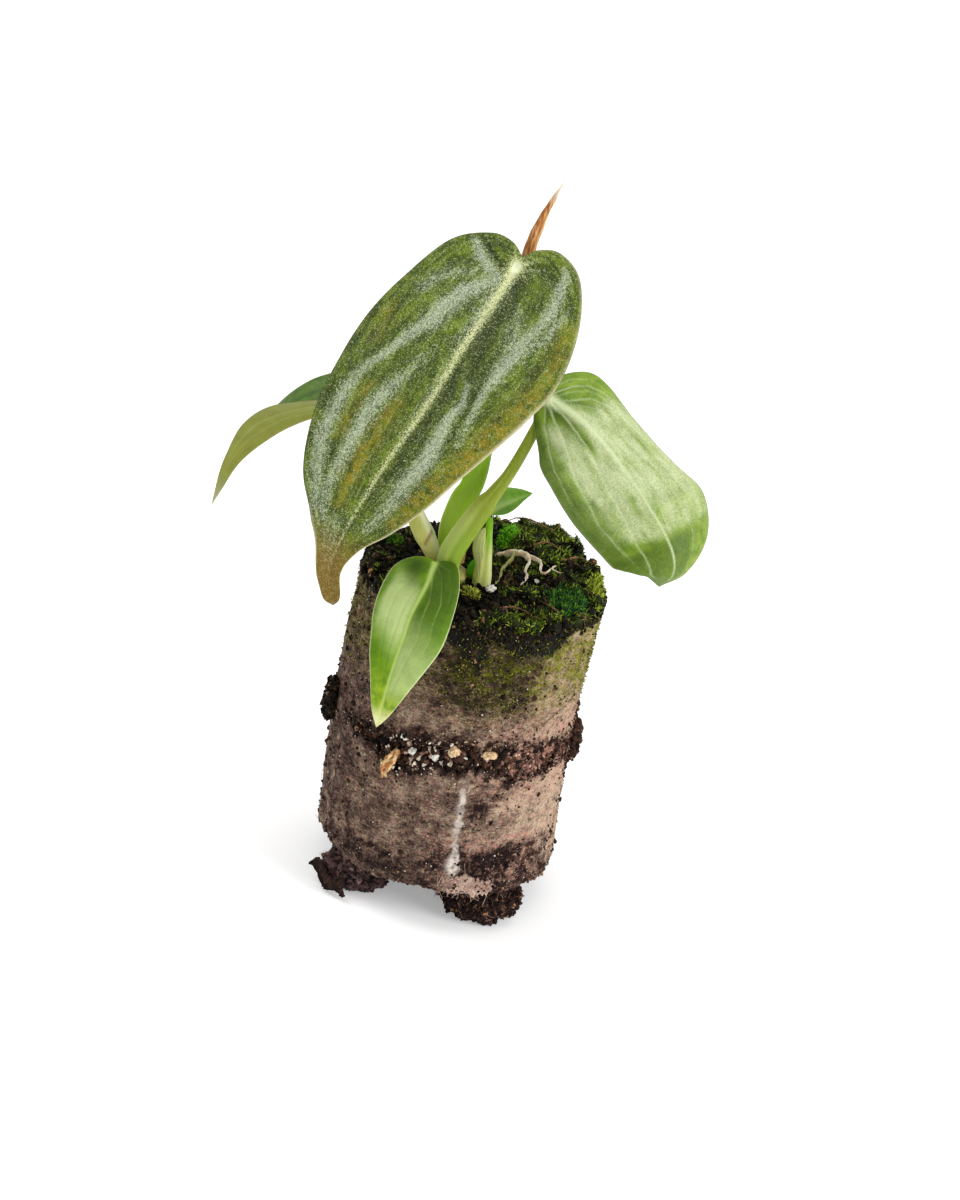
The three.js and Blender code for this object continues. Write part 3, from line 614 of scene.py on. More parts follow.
def scatter_tree(name, shape):
    grower = Grower(name, {
        "Where": ("String", "density"), "Per square mm": ("Float", 1.0), "Size": ("Float", 0.3),
        "Size spread": ("Float", 0.4), "Lean": ("Float", 0.6), "Sink": ("Float", 0.0),
        "Keep ground": ("Bool", False), "Seed": ("Int", 1), "Finish": ("Material", None)})
    given = grower.start
    seed = given["Seed"]
    mark = grower.add("GeometryNodeInputNamedAttribute", {"data_type": "FLOAT"}, {"Name": given["Where"]})
    dense = grower.times(grower.times(mark, given["Per square mm"]), 1 / MM**2)
    spots = grower.add("GeometryNodeDistributePointsOnFaces", {},
                       {"Mesh": given["Ground"], "Density": dense, "Seed": seed}).node.outputs
    shade = grower.add("FunctionNodeRandomValue", {"data_type": "FLOAT"}, {"Seed": seed}, 1)
    shaded = grower.add("GeometryNodeStoreNamedAttribute", {"data_type": "FLOAT", "domain": "POINT"},
                        {"Geometry": spots["Points"], "Name": "shade", "Value": shade})
    least = grower.minus(1.0, given["Size spread"])
    most = grower.plus(1.0, given["Size spread"])
    size = grower.scaled(grower.random(least, most, seed), given["Size"])
    back = grower.times(given["Lean"], -1.0)
    low = grower.add("ShaderNodeCombineXYZ", {}, {"X": back, "Y": back, "Z": -HALF_TURN})
    high = grower.add("ShaderNodeCombineXYZ", {}, {"X": given["Lean"], "Y": given["Lean"], "Z": HALF_TURN})
    lean = grower.add("FunctionNodeEulerToRotation", {}, {0: grower.random(low, high, seed)})
    turned = grower.add("FunctionNodeRotateRotation", {"rotation_space": "LOCAL"},
                        {"Rotation": spots["Rotation"], "Rotate By": lean})
    sink = grower.scaled(spots["Normal"], grower.times(given["Sink"], -MM))
    sunk = grower.add("GeometryNodeSetPosition", {}, {"Geometry": shaded, "Offset": sink})
    bits = grower.add("GeometryNodeInstanceOnPoints", {},
                      {"Points": sunk, "Instance": shape(grower), "Rotation": turned, "Scale": size})
    ground = grower.add("GeometryNodeSwitch", {"input_type": "GEOMETRY"},
                        {"Switch": given["Keep ground"], "True": given["Ground"]})
    joined = grower.tree.nodes.new("GeometryNodeJoinGeometry")
    for part in (bits, ground):
        grower.feed(joined.inputs[0], part)
    real = grower.add("GeometryNodeRealizeInstances", {}, {"Geometry": joined.outputs[0]})
    done = grower.add("GeometryNodeSetMaterial", {}, {"Geometry": real, "Material": given["Finish"]})
    grower.feed(grower.end[0], done)
    return grower


def strew(name, ground, grower, finish, **values):
    """Runs a scattering tree on a copy of a ground mesh and hands back the plain mesh."""
    work = bpy.data.objects.new(name, ground.copy())
    scene.collection.objects.link(work)
    modifier = work.modifiers.new("bits", "NODES")
    modifier.node_group = grower.tree
    modifier[grower.sockets["Finish"]] = finish
    for label, value in values.items():
        modifier[grower.sockets[label.replace("_", " ")]] = value
    graph = bpy.context.evaluated_depsgraph_get()
    mesh = bpy.data.meshes.new_from_object(work.evaluated_get(graph), preserve_all_data_layers=True,
                                           depsgraph=graph)
    work.modifiers.remove(modifier)
    bpy.data.objects.remove(work)
    mesh.name = name
    return mesh


def add_bits(name, ground, grower, finish, slot, *nodes, **values):
    """Strews bits on a ground mesh and shows them as a piece."""
    add_piece(name, strew(name, ground, grower, finish, **values), finish, slot, *nodes)


crumbs = scatter_tree("strew_crumbs", crumb_shape)
leaflets = scatter_tree("strew_leaflets", leaflet_shape)
fibres = scatter_tree("strew_fibres", fibre_shape)
print("scattering trees:", len(crumbs.tree.nodes), "nodes each")

# %% Crumbs on the soil, in the tear and underneath
chunk_finish = medium_finish("torn_chunks", paint(80, 52, 44), paint(160, 120, 104), paint(232, 204, 178),
                             0.8)
CRUMB_LAYERS = [
    ("soil_crumbs", "on_top", crumbs, soil_finish, "medium", 2.0, 0.35, 3.0, 3),
    ("soil_clods", "on_top", crumbs, soil_finish, "medium", 0.4, 0.85, 3.0, 4),
    ("soil_fibres", "on_top", fibres, chunk_finish, "rooty_medium", 0.1, 0.5, 0.3, 18),
    ("tear_crumbs", "in_tear", crumbs, root_finish, "rooty_medium", 1.6, 0.4, 3.0, 8),
    ("tear_clods", "in_tear", crumbs, root_finish, "rooty_medium", 0.35, 0.85, 3.0, 9),
    ("tear_chunks", "tear_right", crumbs, chunk_finish, "rooty_medium", 2.6, 0.5, 3.0, 19),
    ("tear_shreds", "tear_right", fibres, chunk_finish, "sleeve_paper", 1.4, 0.5, 0.5, 20),
    ("foot_crumbs", "foot", crumbs, root_finish, "rooty_medium", 1.4, 0.6, 3.0, 21),
]
for name, where, grower, finish, slot, count, size, lean, seed in CRUMB_LAYERS:
    add_bits(name, medium, grower, finish, slot, Where=where, Per_square_mm=count, Size=size, Size_spread=0.6,
             Lean=lean, Sink=-0.3 * size, Seed=seed)

# %% [markdown]
# ## The paper sleeve
#
# The sleeve is one sheet of thin nonwoven paper, wet through and stained from inside. It is torn open in
# a band at mid-height, lapped over itself at the front, and creased near the bottom. It is made as a
# fine tube of two walls. The tear is left out of the grid, and where the tear closes, its two edges are
# merged, so the sheet stays one closed skin.

# %% The sleeve's shape
SLEEVE_COLUMNS = 440
LAP_ANGLE = -80.0
CREASE_ANGLE = (-76, -44)
CREASE_HEIGHT, CREASE_WIDTH = 15.2, 0.55
OUTER_ROWS, INNER_ROWS = 56, 8
PAPER_THICKNESS = 0.4
LUMP_STAINS = [(-166, 9, 38), (-5, 8, 37)]


def sleeve_swell(angle, z, low, high):
    """How far the paper stands out from its radius: wrinkles, lifted tear edges, the lap and the crease."""
    place = plug_point(angle, SLEEVE_RADIUS, z)
    place = place * [1, 1, 0.55]
    swell = 0.3 * crinkle(place, 5, 2, seed=11) + 0.16 * crinkle(place, 1.4, 3, seed=12)
    edge = np.minimum(np.abs(z - low), np.abs(z - high))
    torn = window(angle, TEAR_START + 3, TEAR_END - 3, 3)
    lift = hill(edge, 1.1) * torn * (0.55 + 0.6 * crinkle(place, 3, 2, seed=13))
    lap = smooth(angle, LAP_ANGLE - 10, LAP_ANGLE) * (z < low)
    lap = lap * (1 - smooth(angle, LAP_ANGLE + 4.0, LAP_ANGLE + 5.2))
    crease = hill(z - CREASE_HEIGHT, CREASE_WIDTH) * window(angle, *CREASE_ANGLE, 3)
    band = 0.45 * window(z, 9, 14.4, 0.5) * window(angle, -135, -50, 10)
    return swell + lift + 0.4 * lap - 0.75 * crease + band


def sleeve_rows(angle, rows):
    """Heights of the rows: hem to the tear's low edge, then its high edge to the rim."""
    around = plug_point(angle, SLEEVE_RADIUS, 0 * angle)
    frayed = 0.7 * crinkle(around, 2.0, 3, seed=21) + 0.35 * crinkle(around, 0.6, 2, seed=22)
    hem = SLEEVE_BOTTOM + 0.4 * np.sin(np.radians(4 * angle + 40)) + frayed
    rim = SLEEVE_TOP + 0.4 * np.sin(np.radians(3 * angle)) + 0.3 * np.sin(np.radians(7 * angle))
    rim = rim - 0.8 * np.abs(frayed)
    low, high = np.interp(angle, *TEAR_LOW), np.interp(angle, *TEAR_HIGH)
    swell = np.clip((high - low) / 4, 0, 1)
    low_rags = 0.1 + 4.4 * np.abs(crinkle(around, 3.4, 3, seed=23)) + crinkle(around, 0.8, 2, seed=25)
    high_rags = 0.1 + 2.6 * np.abs(crinkle(around, 2.8, 3, seed=24)) + 0.9 * crinkle(around, 0.7, 2, seed=26)
    low = low + swell * low_rags
    high = high - swell * high_rags
    low = np.minimum(low, high - 0.6 * swell)
    below = hem + (low - hem) * np.linspace(0, 1, rows)[:, None]
    above = high + (rim - high) * np.linspace(0, 1, rows)[:, None]
    return below, above, low, high, rim


def sleeve_mesh():
    angle = TEAR_START + 360 * np.arange(SLEEVE_COLUMNS) / SLEEVE_COLUMNS
    points, starts, faces = [], [], []
    count = 0
    for rows, inward in ((OUTER_ROWS, 0.0), (INNER_ROWS, PAPER_THICKNESS)):
        below, above, low, high, rim = sleeve_rows(angle, rows)
        for part in (below, above):
            starts.append((count, rows))
            for z in part:
                swell = sleeve_swell(angle, z, low, high)
                points.append(plug_point(angle, SLEEVE_RADIUS + swell - inward, z))
                count += SLEEVE_COLUMNS
    grids = [np.arange(rows * SLEEVE_COLUMNS).reshape(rows, -1) + start for start, rows in starts]

    def quads(first, second, keep=None):
        """Faces between two rows of point numbers, for the columns to keep."""
        for column in range(SLEEVE_COLUMNS):
            after = (column + 1) % SLEEVE_COLUMNS
            if keep is None or keep[column] or keep[after]:
                faces.append((first[column], first[after], second[after], second[column]))

    for grid in grids:
        for row in range(len(grid) - 1):
            quads(grid[row], grid[row + 1])
    out_below, out_above, in_below, in_above = grids
    torn = high - low > 0.02
    quads(in_below[0], out_below[0])
    quads(out_above[-1], in_above[-1])
    quads(out_below[-1], in_below[-1], torn)
    quads(in_above[0], out_above[0], torn)
    points = np.vstack(points)
    angles = np.tile(angle, len(points) // SLEEVE_COLUMNS)
    z = points[:, 2]
    low, high, rim = (np.tile(edge, len(points) // SLEEVE_COLUMNS) for edge in (low, high, rim))
    wide = crinkle(points, 6, 3, seed=31)
    close = crinkle(points, 1.8, 3, seed=32)
    in_front = np.maximum(1 - smooth(angles, 60, 110), smooth(angles, 165, 207))
    outside = np.arange(len(points)) < len(points) * OUTER_ROWS / (OUTER_ROWS + INNER_ROWS)
    near_tear = np.minimum(np.abs(z - low), np.abs(z - high))
    seep_and_shade = np.maximum.reduce([
        # The left side darker: partly staining, partly painted shade.
        0.4 * np.maximum(smooth(-angles, 105, 150), smooth(angles, 165, 207)),
        window(angles, 40, 170, 40) * 0.3,
        1.1 * hill(near_tear, 1.6 + wide) * window(angles, -146, 26, 10),
        0.5 * window(z, 8, 14, 2) * window(angles, -150, -88, 9),
        0.8 * window(angles, -56, -8, 7) * window(z, 7, 12, 2),
        1.1 * window(angles, -76, -16, 8) * window(z, 6, 19 + 3 * wide, 2.5) * smooth(close, -0.7, 0.5),
        # Painted shade in the crease.
        2.2 * hill(z - CREASE_HEIGHT, CREASE_WIDTH) * window(angles, *CREASE_ANGLE, 3),
        1.3 * hill(z - 14.0 - 0.9 * close, 0.9) * window(angles, -136, -84, 4) * smooth(close, -0.5, 0.4),
        1.2 * hill(angles + 64.5 - 2.1 * (z - 30), 5) * window(z, 24, 36, 3) * smooth(close, -0.6, 0.3),
        0.8 * window(angles, -100, -52, 10) * window(z, 50, 67, 5)])
    by_lumps = sum(np.exp(-((angles - turn) / wide_as) ** 2 - ((z - height) / 6) ** 2)
                   for turn, wide_as, height in LUMP_STAINS)
    seep_and_shade = np.maximum(seep_and_shade, by_lumps)
    cluster = smooth(crinkle(points, 3.5, 2, seed=33), -0.1, 0.35)
    ragged = 0.4 * seep_and_shade + 1.6 * hill(near_tear, 1.5) * (angles < 30)
    marks = {
        # Darkest just below the rim, reaching lowest at the front.
        "wet": hill(np.maximum(rim - z, 0), 1.2 + 4.6 * window(angles, -104, -46, 14) * (1 + wide))
        * (0.5 + 0.6 * window(angles, -118, -36, 12)),
        "stain_and_shade": np.clip(seep_and_shade + 0.45 * wide, -0.3, 1.8),
        "algae": np.clip((window(angles, -98, 25, 18) * (1 + 0.7 * wide + 0.4 * close)
                          + 0.5 * np.maximum(window(angles, -240, -110, 10), smooth(angles, 165, 195)))
                         * smooth(z, 44, 60), 0, 1),
        # Paler on the right side: partly the paper's own tone, partly painted light.
        "pale": np.clip(smooth(angles, -84, -24) * (1 - smooth(angles, 60, 120))
                        * (1 - 0.5 * window(z, 46, 70, 6))
                        - 0.5 * window(z, 6, 20, 3) * window(angles, -90, -20, 12) + 0.5 * wide, -0.4, 1.2),
        "lap": np.clip(window(angles, LAP_ANGLE - 0.2 + 2 * close, LAP_ANGLE + 2.6 + 2 * close, 0.6)
                       * window(z, 12, 34, 2) * (0.6 + 1.4 * wide + 0.5 * close)
                       + 1.6 * np.exp(-(((angles + 78.5) / 2.6) ** 2 + ((z - 14.8) / 1.3) ** 2)), 0, 1),
        "mauve": window(z, 6, 21, 3) * window(angles, -90, -34, 8)
        + 0.6 * window(z, 30, 48, 5) * window(angles, -70, 10, 14),
        "fuzz": cluster * outside,
        "tear_left": hill(near_tear, 1.3) * window(angles, -122, -82, 6) * outside,
        "specks": np.clip(0.03 + 1.5 * by_lumps * outside + ragged * (0.3 + cluster), 0, 1.4) * outside,
        "rim_bits": hill(rim - z, 1.0 + 1.2 * window(angles, -100, -48, 16)) * in_front * outside,
    }
    flat = np.stack([angles * SLEEVE_RADIUS * np.pi / 180 / FLAT_WIDTH + 1, z / FLAT_WIDTH], 1)
    return build_mesh("sleeve_paper_wrap", points, faces, marks, flat, recalculate=True)


# %% [markdown]
# Nonwoven paper is a felt of long fibres pressed flat. Three stretched noises, each turned its own way,
# stand in for the layers of fibre, and the strongest of the three at each point is the one on top. The
# same pattern gives the colour, the relief and the pits that show the dark medium through the sheet.

# %% The sleeve's finish
PAPER_TINTS = [("mauve", (0.9, 1.2), (0.96, 0.62, 0.68)), ("grey green", (1.3, 0.8), (0.72, 0.84, 0.84)),
               ("tan", (0.7, 0.9), (0.95, 0.95, 0.78))]


def paper_finish(name, base, shadow, light, stain, algae):
    """One tone runs from stain to light. Marks push it up or down, so stains, painted shade and painted light
    all have the same mottle.
    """
    finish = Finish(name)
    flat = finish.flat()
    web = None
    for turn in (0.4, 1.5, 2.5):
        turned = finish.add("ShaderNodeMapping", {}, {"Vector": flat, "Rotation": (0, 0, turn),
                                                      "Scale": (0.3, 1, 1)})
        strand = finish.noise(turned, 0.38, 3.0, 0.65)
        web = strand if web is None else finish.maths("MAXIMUM", web, strand)
    cloud = finish.noise(flat, 4.5, 5.0, 0.65)
    patch = finish.noise(finish.flat((1.2, 0.9)), 1.3, 4.0, 0.7)
    tone = finish.plus(finish.times(cloud, 0.5), finish.times(patch, 0.4))
    tone = finish.plus(tone, finish.times(web, 0.35))
    fine = finish.noise(flat, 0.45, 3.0, 0.7)
    tone = finish.plus(tone, finish.swing(fine, 0.44))
    # Paler paper and painted light lift the tone; stains and painted shade lower it.
    tone = finish.plus(tone, finish.mark("pale", 0.13))
    tone = finish.minus(tone, finish.mark("stain_and_shade", 0.14))
    body = finish.ramp(tone, (0.48, stain), (0.58, shadow), (0.68, base), (0.82, light))
    for tint, stretch, hue in PAPER_TINTS:
        tinted = finish.mix(finish.spread(tone, 0.52, 0.78), toned(toned(stain, 1.2), *hue),
                            toned(light, *hue))
        where_tinted = finish.spread(finish.noise(finish.flat(stretch), 1.5, 4.0, 0.7), 0.5, 0.6, 0.0, 0.56)
        if tint == "mauve":
            where_tinted = finish.plus(where_tinted, finish.mark("mauve", 0.5), clamp=True)
        body = finish.mix(where_tinted, body, tinted)
    body = finish.mix(finish.times(finish.mark("lap"), finish.spread(patch, 0.34, 0.5, 0.35, 1.0)), body,
                      toned(light, 1.3, 1.55, 1.9))
    mottle = finish.noise(finish.flat((1.1, 1.0)), 1.7, 5.0, 0.75)
    green = finish.times(finish.mark("algae"), finish.spread(mottle, 0.4, 0.54))
    vivid = finish.mix(finish.spread(mottle, 0.58, 0.66), algae, toned(algae, 0.5, 1.1, 0.6))
    body = finish.mix(finish.times(green, 0.9), body,
                      finish.mix(finish.spread(tone, 0.52, 0.72), toned(algae, 0.2), vivid))
    pits = finish.spread(finish.noise(flat, 0.36, 3.0, 0.6), 0.6, 0.7)
    body = finish.mix(finish.times(pits, 0.7), body, toned(stain, 0.6))
    ragged = finish.swing(patch, 1.2)
    # Below the rim the paper turns nearly black and a little glossier, most of all at the front.
    wet = finish.spread(finish.plus(finish.mark("wet"), ragged), 0.2, 0.55)
    body = finish.mix(wet, body, paint(13, 12, 4))
    relief = finish.bump(web, 0.3, finish.bump(patch, 0.7))
    return finish.wear(Base_Color=body, Roughness=finish.spread(wet, 0.0, 1.0, 0.92, 0.6), Normal=relief,
                       Specular_IOR_Level=0.15)


sleeve_finish = paper_finish("stained_nonwoven_paper", paint(124, 100, 86), paint(90, 68, 60),
                             paint(200, 174, 150), paint(30, 19, 17), paint(130, 130, 26))
sleeve = sleeve_mesh()
add_piece("sleeve_paper_wrap", sleeve, sleeve_finish, "sleeve_paper", "paper_sleeve")

# %% Fibres, crumbs and white specks on the sleeve
fuzz_finish = medium_finish("loose_paper_fibre", paint(60, 46, 38), paint(120, 98, 82), paint(200, 176, 152),
                            0.9)
algae_finish = medium_finish("algae_thread", paint(62, 70, 10), paint(138, 140, 34), paint(186, 182, 84), 0.8)
white_speck = medium_finish("white_speck", paint(180, 160, 130), paint(226, 216, 196), paint(250, 248, 240),
                            0.8)
SLEEVE_BITS = [
    ("sleeve_fibres", "fuzz", fibres, fuzz_finish, "sleeve_paper", 0.16, 0.45, 0.12, 5),
    ("sleeve_algae_threads", "algae", fibres, algae_finish, "olive_moss", 0.35, 0.24, 0.5, 6),
    ("sleeve_algae_tufts", "algae", leaflets, algae_finish, "olive_moss", 1.6, 0.26, 0.8, 11),
    ("sleeve_crumbs", "specks", crumbs, root_finish, "rooty_medium", 1.7, 0.24, 3.0, 9),
    ("sleeve_clods", "specks", crumbs, root_finish, "rooty_medium", 0.2, 0.5, 3.0, 10),
    ("sleeve_specks", "specks", crumbs, white_speck, "perlite", 0.5, 0.12, 3.0, 14),
    ("sleeve_tear_specks", "tear_left", crumbs, white_speck, "perlite", 0.35, 0.3, 3.0, 17),
    ("rim_crumbs", "rim_bits", crumbs, soil_finish, "medium", 2.6, 0.42, 3.0, 15),
]
for name, where, grower, finish, slot, count, size, lean, seed in SLEEVE_BITS:
    add_bits(name, sleeve, grower, finish, slot, Where=where, Per_square_mm=count, Size=size, Size_spread=0.6,
             Lean=lean, Sink=-0.1, Seed=seed)
add_bits("tear_specks", medium, crumbs, white_speck, "perlite", Where="tear_left", Per_square_mm=0.3,
         Size=0.42, Size_spread=0.9, Lean=3.0, Sink=-0.35, Seed=16)

# %% [markdown]
# ## Perlite and cream bits
#
# Perlite is puffed volcanic glass: white, rounded and pitted. Each named grain is a fine ball pushed in
# and out by noise, and smaller specks are strewn in the tear.

# %% Grains
def grain_mesh(name, centre, radii, seed, rows=26, columns=40):
    ball = ball_points(rows, columns)
    lumpy = 1 + 0.5 * crinkle(ball, 0.8, 3, seed) - 0.3 * np.abs(crinkle(ball, 0.35, 2, seed + 1))
    points = np.array(centre) + ball * np.array(radii) * lumpy[:, None]
    return build_mesh(name, points, ring_faces(rows, columns, len(ball) - 2, len(ball) - 1),
                      {"shade": 0.5 + 0.4 * crinkle(ball, 0.5, 2, seed)})


def perlite_finish(name, light, mid, dark):
    finish = Finish(name)
    where = finish.place()
    grit = finish.noise(where, 0.4, 3.0, 0.6)
    body = finish.ramp(grit, (0.3, dark), (0.5, mid), (0.66, light))
    pits = finish.bump(finish.noise(where, 0.15, 2.0), 0.08)
    return finish.wear(Base_Color=body, Roughness=0.85, Normal=pits, Subsurface_Weight=0.15,
                       Subsurface_Radius=(0.6 * MM, 0.5 * MM, 0.4 * MM))


white_grain = perlite_finish("perlite_white", paint(246, 244, 236), paint(226, 222, 208),
                             paint(170, 160, 140))
cream_grain = perlite_finish("cream_bit", paint(240, 220, 186), paint(216, 182, 136), paint(150, 104, 62))
GRAINS = {
    "perlite_soil_a": ((1.6, -9.6, 70.7), (1.1, 0.8, 0.75), white_grain, "perlite"),
    "perlite_soil_b": ((10.6, -1.6, 70.5), (0.5, 0.4, 0.4), white_grain, "perlite"),
    "tear_grain_1": (plug_point(-86.0, 25.2, 41.0), (1.15, 0.8, 1.15), cream_grain, "cream_grain"),
    "tear_grain_2": (plug_point(-70.0, 25.3, 41.0), (1.6, 0.9, 1.0), cream_grain, "cream_grain"),
    "tear_grain_3": (plug_point(-94.0, 25.0, 38.8), (0.75, 0.6, 0.9), white_grain, "perlite"),
    "tear_grain_4": (plug_point(-105.0, 25.0, 38.8), (0.75, 0.7, 0.8), white_grain, "perlite"),
    "tear_grain_5": (plug_point(-110.0, 25.1, 41.4), (0.85, 0.7, 0.8), white_grain, "perlite"),
}
for number, (name, (centre, radii, finish, slot)) in enumerate(GRAINS.items()):
    add_piece(name + "_lump", grain_mesh(name + "_lump", centre, radii, 40 + number), finish, slot, name)

rim_bit = grain_mesh("rim_bit", plug_point(-158.0, 24.4, 69.0), (0.5, 1.0, 0.7), 60)
rim_orange = perlite_finish("rim_orange", paint(236, 190, 130), paint(196, 136, 70), paint(110, 66, 30))
add_piece("rim_bit", rim_bit, rim_orange, "cream_grain")

# %% [markdown]
# ## Tubes: fibre tuft, dry root and petioles
#
# Roots and petioles are all stalks: a smooth path with an oval section that changes along it. One
# helper lofts them. A petiole also gets fine ridges along its length, because an aroid's petiole is a
# bundle of strands under a thin skin, and its base is winged like a gutter.

# %% Stalks
def stalk_points(path, stations, rows, columns, wide_way=(1, 0, 0), shape=None):
    """Rings round a path. stations are (share, half width, half thickness)."""
    path = Path(path)
    stations = np.array(stations, float)
    share = np.linspace(0, 1, rows)
    centre, along = path.at(share), path.tangent(share)
    wide_way = np.array(wide_way, float)
    across = unit(wide_way - along * (along @ wide_way)[:, None])
    out = np.cross(along, across)
    wide = np.interp(share, stations[:, 0], stations[:, 1])
    thin = np.interp(share, stations[:, 0], stations[:, 2])
    turn = 2 * np.pi * np.arange(columns) / columns
    share_grid, turn_grid = np.meshgrid(share, turn, indexing="ij")
    scale = np.ones_like(turn_grid) if shape is None else shape(share_grid, turn_grid)
    x = (wide[:, None] * np.cos(turn_grid) * scale)[..., None]
    y = (thin[:, None] * np.sin(turn_grid) * scale)[..., None]
    rings = centre[:, None] + across[:, None] * x + out[:, None] * y
    return rings, share_grid, turn_grid


def loft(rings):
    """Points and faces of a closed skin through rings, with a pole at each end."""
    count, columns, _ = rings.shape
    points = np.vstack([rings.reshape(-1, 3), rings[0].mean(0), rings[-1].mean(0)])
    return points, ring_faces(count, columns, len(points) - 2, len(points) - 1)


def stalk_mesh(name, path, stations, rows=60, columns=28, wide_way=(1, 0, 0), shape=None, paints=None,
               rough=0.0):
    rings, share, turn = stalk_points(path, stations, rows, columns, wide_way, shape)
    points, faces = loft(rings)
    if rough:
        points = points + rough * shaken(points, 0.8, 2, 51)
    marks = {"share": with_poles(share)}
    for mark, rule in (paints or {}).items():
        marks[mark] = with_poles(rule(share, turn))
    flat = np.stack([with_poles(turn) / (2 * np.pi), with_poles(share)], 1)
    return build_mesh(name, points, faces, marks, flat)


def joined_mesh(name, meshes):
    """One mesh from several."""
    work = bmesh.new()
    for mesh in meshes:
        work.from_mesh(mesh)
    whole = bpy.data.meshes.new(name)
    work.to_mesh(whole)
    work.free()
    return whole


# %% The dry root and the fibre tuft
ROOT_ROUTES = [
    (0.0, [[1.1, 5.5, 71.1], [3.6, 4.9, 72.4], [6.3, 4.6, 73.2], [8.9, 4.1, 72.9], [10.7, 3.8, 72.4],
           [11, 1.5, 71.5], [12.1, 0.8, 71.5], [13.9, 4.2, 72.3]],
     [[0, 0.2, 0.15], [0.22, 0.62, 0.3], [0.4, 0.4, 0.25], [1, 0.12, 0.12]]),
    (0.1, [[7.2, 4.4, 73.1], [8.4, 2.6, 72.7], [7.9, 0.6, 71.5], [8.5, -1.4, 70.9], [7.5, -4, 70.1]],
     [[0, 0.5, 0.2], [0.35, 0.42, 0.2], [1, 0.16, 0.14]]),
    (1.0, [[5.2, 4.6, 73.0], [4.6, 1.8, 72.4], [3.2, -0.6, 71.2], [3.1, -3.4, 70.6], [2.3, -5.7, 70.1]],
     [[0, 0.34, 0.25], [0.5, 0.3, 0.24], [1, 0.2, 0.18]]),
    (0.3, [[13.1, 2.4, 72], [14.4, 1.6, 71.9], [15.6, 2.2, 71.6]], [[0, 0.14, 0.14], [1, 0.08, 0.08]]),
]


def root_finish_for(name, light, warm, green):
    finish = Finish(name)
    where = finish.place()
    body = finish.mix(finish.spread(finish.noise(where, 1.1, 2.0), 0.42, 0.6), light, warm)
    body = finish.mix(finish.mark("greenish", 0.85), body, green)
    body = finish.mix(finish.spread(finish.noise(where, 0.6, 3.0), 0.58, 0.7, 0.0, 0.4), body,
                      toned(warm, 0.5))
    return finish.wear(Base_Color=body, Roughness=0.75, Normal=finish.bump(finish.noise(where, 0.3), 0.1))


pale_root = root_finish_for("dry_root_skin", paint(255, 248, 226), paint(240, 206, 178), paint(140, 142, 36))
root_parts = [stalk_mesh(f"root_{number}", route, np.array(widths) * [1, 1.35, 1.2], 60, 12, (0, 0, 1),
                         rough=0.22, paints={"greenish": lambda share, turn, green=green: green + 0 * share})
              for number, (green, route, widths) in enumerate(ROOT_ROUTES)]
add_piece("dry_root_strands", joined_mesh("dry_root_strands", root_parts), pale_root, "pale_root", "dry_root")

orange_fibre = root_finish_for("orange_fibre", paint(232, 200, 148), paint(186, 118, 56), paint(120, 70, 34))
TUFT_FIBRES = 16
TUFT_ANGLES = np.array([-112.5, -113.5, -115.5, -116.0])
TUFT_RADII = np.array([24.8, 26.0, 26.6, 25.6])
TUFT_HEIGHTS = np.array([37.6, 36.0, 33.8, 31.6])
TUFT_WIDTHS = [[0, 0.3, 0.12], [0.5, 0.42, 0.16], [1, 0.08, 0.06]]
tuft = []
for number in range(TUFT_FIBRES):
    swing = np.random.default_rng(number).uniform(-1, 1, 8)
    route = plug_point(TUFT_ANGLES + 1.7 * swing[:4], TUFT_RADII + 0.5 * swing[4],
                       TUFT_HEIGHTS + 0.9 * swing[4:8])
    tuft.append(stalk_mesh(f"tuft_{number}", route, TUFT_WIDTHS, 18, 6, (0, 0, 1), rough=0.45))
add_piece("tear_fibre_tuft", joined_mesh("tear_fibre_tuft", tuft), orange_fibre, "orange_fibre", "tear_fibre")

# %% [markdown]
# ## Petioles
#
# The main petiole is bright green and flat with a sheathing base. The right one is olive, with a pale
# wing folded along its left side. The left one is cream at its base, where the wing's edge has torn and
# healed brown. Each has its own widths and ridges, and some have a groove on the face side. The wings
# and scars are marks that the finish paints.

# %% Petiole finish
def petiole_finish(name, low, high, pale, brown, soft=0.2, fade=(0.05, 0.45)):
    finish = Finish(name)
    share = finish.mark("share")
    where = finish.place((1, 1, 6))
    streak = finish.noise(where, 0.5, 3.0, 0.6)
    body = finish.mix(finish.spread(share, *fade), low, high)
    body = finish.mix(finish.spread(streak, 0.45, 0.75, 0.0, 0.12), body, pale)
    body = finish.mix(finish.mark("wing"), body, pale)
    body = finish.mix(finish.mark("scar"), body, brown)
    fleck = finish.spread(finish.noise(finish.place(), 0.9, 2.0), 0.66, 0.74, 0.0, 0.4)
    body = finish.mix(finish.times(fleck, finish.spread(share, 0.5, 0.0)), body, brown)
    return finish.wear(Base_Color=body, Roughness=finish.spread(streak, 0.3, 0.7, 0.34, 0.5),
                       Normal=finish.bump(streak, 0.04), Subsurface_Weight=soft,
                       Subsurface_Radius=(1.2 * MM, 1.6 * MM, 0.5 * MM), Specular_IOR_Level=0.25)


# %% The petioles
def ribbed(depth, count, groove=0.0):
    """A section with fine ridges along it and a groove down its face side."""
    def shape(share, turn):
        ridges = 1 + depth * np.sin(count * turn + 3 * share)
        face = np.cos(turn + np.pi / 2)
        return ridges - groove * np.exp(-((np.abs(face - 1)) / 0.06)) * (1 - smooth(share, 0.55, 0.8))
    return shape


def no_mark(share, turn):
    return 0 * share


def wing_edge(strength, side, low, high, start, end, turned=0.0):
    """A mark for a wing on the left (-1) or right (1) side, which ends between two shares of the length."""
    def mark(share, turn):
        return strength * smooth(side * np.cos(turn - turned), low, high) * (1 - smooth(share, start, end))
    return mark


def brown_foot(strength, place, width):
    def mark(share, turn):
        return strength * hill(share - place, width)
    return mark


